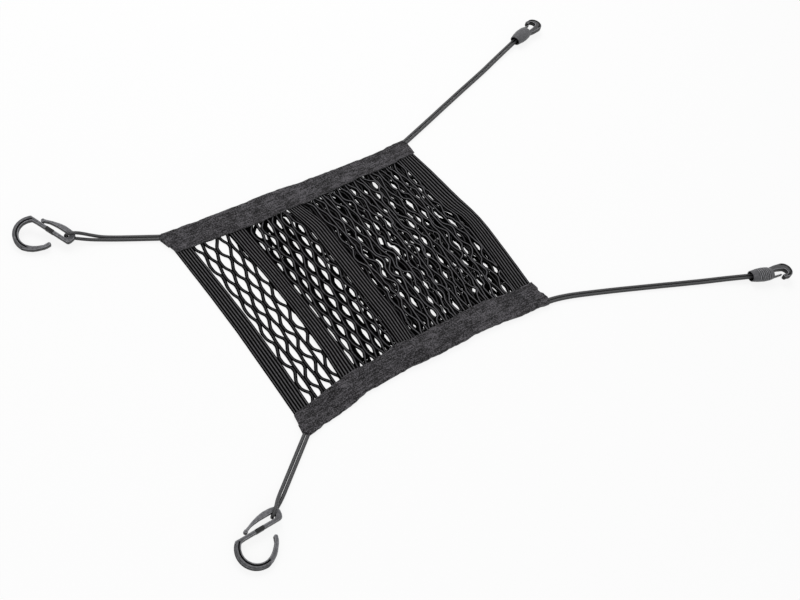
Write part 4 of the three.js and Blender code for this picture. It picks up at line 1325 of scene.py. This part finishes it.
class STORAGENET_OT_ring_hooks(bpy.types.Operator):
    """Makes the two ring hooks"""

    bl_idname = "storage_net.ring_hooks"
    bl_label = "Ring hooks"

    def execute(self, context):
        colour = context.scene.storage_net_colours.plastic
        grey = finish_of("moulding", plastic_finish, colour)
        black = finish_of("pad_plastic", plastic_finish, dark(colour, 0.07), 0.5)
        for side, place in RING_PLACES.items():
            moulding("ring_hook_" + side, ring_hook(), place, grey, "hook_big_" + side)
            moulding("spine_pad_" + side, spine_pad(), place, black)
        return {"FINISHED"}


# The ferrule hook, modelled with its axis along +x from its mouth and the hook curling to +y.
# Half of the ferrule's profile, from the bottom of its bore round the mouth: x, radius.
MOUTH = [
    (10.0, 0.0), (10.0, 5.1), (6.0, 5.1), (0.5, 5.15), (0.1, 5.4), (0.0, 5.9), (0.2, 6.2),
    (0.8, 6.4), (2.4, 6.65), (4.0, 6.95), (5.8, 7.3),
]
BARREL = [(5.8, 7.3), (14.8, 8.1), (22.0, 7.7), (26.3, 6.8)]
CLOSED_END = [(26.3, 6.8), (27.2, 6.0), (27.7, 5.0), (27.8, 4.4), (27.8, 0.0)]
BARREL_FACES = 70  # along the barrel, each of this length
BARREL_STEP = 0.29
FERRULE_SIDES = 56
FERRULE_LONG = 27.0
FLATTEN = 0.8
RING_COUNT = 7  # rings moulded round the ferrule's lower side
RING_PITCH = 2.35
RING_HEIGHT = 0.3
RING_FLOOR = -0.4  # their furrows are cut off at this share of the height
FIRST_RING = 8.2
BORE_EDGE = 5.6  # faces nearer the axis lie in the bore
BEND = (43.8, -0.6)
CROOK = (42.1, 1.5)
CHANNEL = (6.1, 8.2, -100, 92)  # of the channel in each face of the crook: radii and angles
CHANNEL_DEPTH = 1.5
SMALL_BAR = 5.4
GATE = [(22.8, 4.6), (26.4, 4.5), (30.0, 4.2), (37.6, 3.2), (37.8, 4.4), (30.0, 5.8), (22.8, 6.6)]
GATE_THICK = 3.0


def ring_phase(x):
    """Where a place lies among the ferrule's rings, counted in rings, or None beside them."""
    phase = (x - FIRST_RING) / RING_PITCH
    return phase if -0.5 < phase < RING_COUNT - 0.5 else None


def ferrule_body():
    """The ferrule with its bore; its rings stand out on the side below its axis."""
    start, end = BARREL[0][0], BARREL[-1][0] - 0.1
    steps = [start + BARREL_STEP * (i + 1) for i in range(BARREL_FACES)]
    barrel = [(x, float(np.interp(x, *np.transpose(BARREL)))) for x in steps]
    bm = bmesh.new()
    verts = [bm.verts.new((x, 0, radius)) for x, radius in MOUTH + barrel + CLOSED_END]
    edges = [bm.edges.new(pair) for pair in zip(verts, verts[1:])]
    bmesh.ops.spin(bm, geom=verts + edges, cent=(0, 0, 0), axis=(1, 0, 0), angle=math.tau,
                   steps=FERRULE_SIDES, use_merge=True)
    bmesh.ops.remove_doubles(bm, verts=bm.verts, dist=1e-3)
    for vert in bm.verts:
        x, y, z = vert.co
        radius = math.hypot(y, z)
        if start < x < end and radius > 6:
            phase = ring_phase(x)
            ring = RING_FLOOR if phase is None else max(math.cos(math.tau * phase), RING_FLOOR)
            shown = smooth(-z / radius, -0.35, 0.1)
            grown = 1 + RING_HEIGHT * ring * shown / radius
            vert.co = (x, y * grown, z * grown)
    bmesh.ops.scale(bm, vec=(1, 1, FLATTEN), verts=bm.verts)
    return welded(bm, 0.0)


def crook_outline():
    """Outline of the ferrule hook's crook: along its back, round its bend and back inside it."""
    return [
        (20.9, -5.5), (24.0, -6.1), (27.3, -6.9), (31.2, -7.9), (35.2, -8.7), (39.0, -9.2),
        *arc(*BEND, 9.2, -97, 97, 40),
        *arc(40.0, 7.0, 2.3, 95, 275, 14),
        *arc(*CROOK, 3.8, 84, -84, 26),
        (37.0, -2.6), (32.3, -2.5), (29.4, -2.2), (26.6, -1.5), (23.6, -0.4), (20.7, 1.0),
    ]


def ferrule_hook():
    half = SMALL_BAR / 2
    crook = rounded_plate(crook_outline(), SMALL_BAR, 0.7, -half)
    channels = [arc_slab(BEND, *CHANNEL, low, high) for low, high in
                ((half - CHANNEL_DEPTH, half + 1), (-half - 1, -half + CHANNEL_DEPTH))]
    crook = combined(crook, channels, "DIFFERENCE")
    gate = rounded_plate(GATE, GATE_THICK, 0.4, -GATE_THICK / 2)
    body = combined(ferrule_body(), [crook, gate], "UNION")

    # Faces in the crook's channels get black painted shade.
    def grooved(centre):
        inside = CHANNEL[0] - 0.1 < math.dist(centre.xy, BEND) < CHANNEL[1] + 0.1
        return inside and centre.x > 30 and abs(centre.z) < half - 0.3

    def on_ferrule(centre, mark):
        radius = math.hypot(centre.y, centre.z / FLATTEN)
        if centre.x > FERRULE_LONG:
            return mark if mark == RIM_HIGHLIGHT else min(mark, CROOK_MARK)
        if radius < BORE_EDGE:
            return BORE_SHADE
        # Painted highlights on the rings' crests, painted shade in the furrows between them.
        phase = ring_phase(centre.x)
        if phase is None or -centre.z / FLATTEN < 0.1 * radius:
            return PLAIN_MARK
        return 0.43 + 0.4 * math.cos(math.tau * phase)

    paint_face_light(body, grooved, on_ferrule)
    return body


class STORAGENET_OT_ferrule_hooks(bpy.types.Operator):
    """Makes the two ferrule hooks that grip the long pairs"""

    bl_idname = "storage_net.ferrule_hooks"
    bl_label = "Ferrule hooks"

    def execute(self, context):
        grey = finish_of("moulding", plastic_finish, context.scene.storage_net_colours.plastic)
        for side, place in FERRULE_PLACES.items():
            moulding("ferrule_hook_" + side, ferrule_hook(), place, grey, "hook_small_" + side)
        return {"FINISHED"}


# ---------------------------------------------------------------- the add-on
ORDER = ("stage", "ferrule_hooks", "ring_hooks", "cords", "tapes", "strips", "netting")
GROUPS = {
    "storage_net_sizes": NetSizes,
    "storage_net_colours": NetColours,
    "storage_net_stage": StageSettings,
}


class STORAGENET_PT_panel(bpy.types.Panel):
    bl_label = "Storage Net"
    bl_idname = "STORAGENET_PT_panel"
    bl_space_type = "VIEW_3D"
    bl_region_type = "UI"
    bl_category = "Storage Net"

    def draw(self, context):
        for group in GROUPS:
            column = self.layout.column()
            for name in GROUPS[group].__annotations__:
                column.prop(getattr(context.scene, group), name)
        for step in ORDER:
            self.layout.operator("storage_net." + step)


CLASSES = (
    *GROUPS.values(), STORAGENET_OT_stage, STORAGENET_OT_cords, STORAGENET_OT_tapes,
    STORAGENET_OT_strips, STORAGENET_OT_netting, STORAGENET_OT_ring_hooks,
    STORAGENET_OT_ferrule_hooks, STORAGENET_PT_panel,
)


def register():
    for item in CLASSES:
        bpy.utils.register_class(item)
    for name, group in GROUPS.items():
        setattr(bpy.types.Scene, name, bpy.props.PointerProperty(type=group))


def unregister():
    for name in GROUPS:
        delattr(bpy.types.Scene, name)
    for item in reversed(CLASSES):
        bpy.utils.unregister_class(item)


def main():
    register()
    for step in ORDER:
        getattr(bpy.ops.storage_net, step)()


if __name__ == "__main__":
    main()
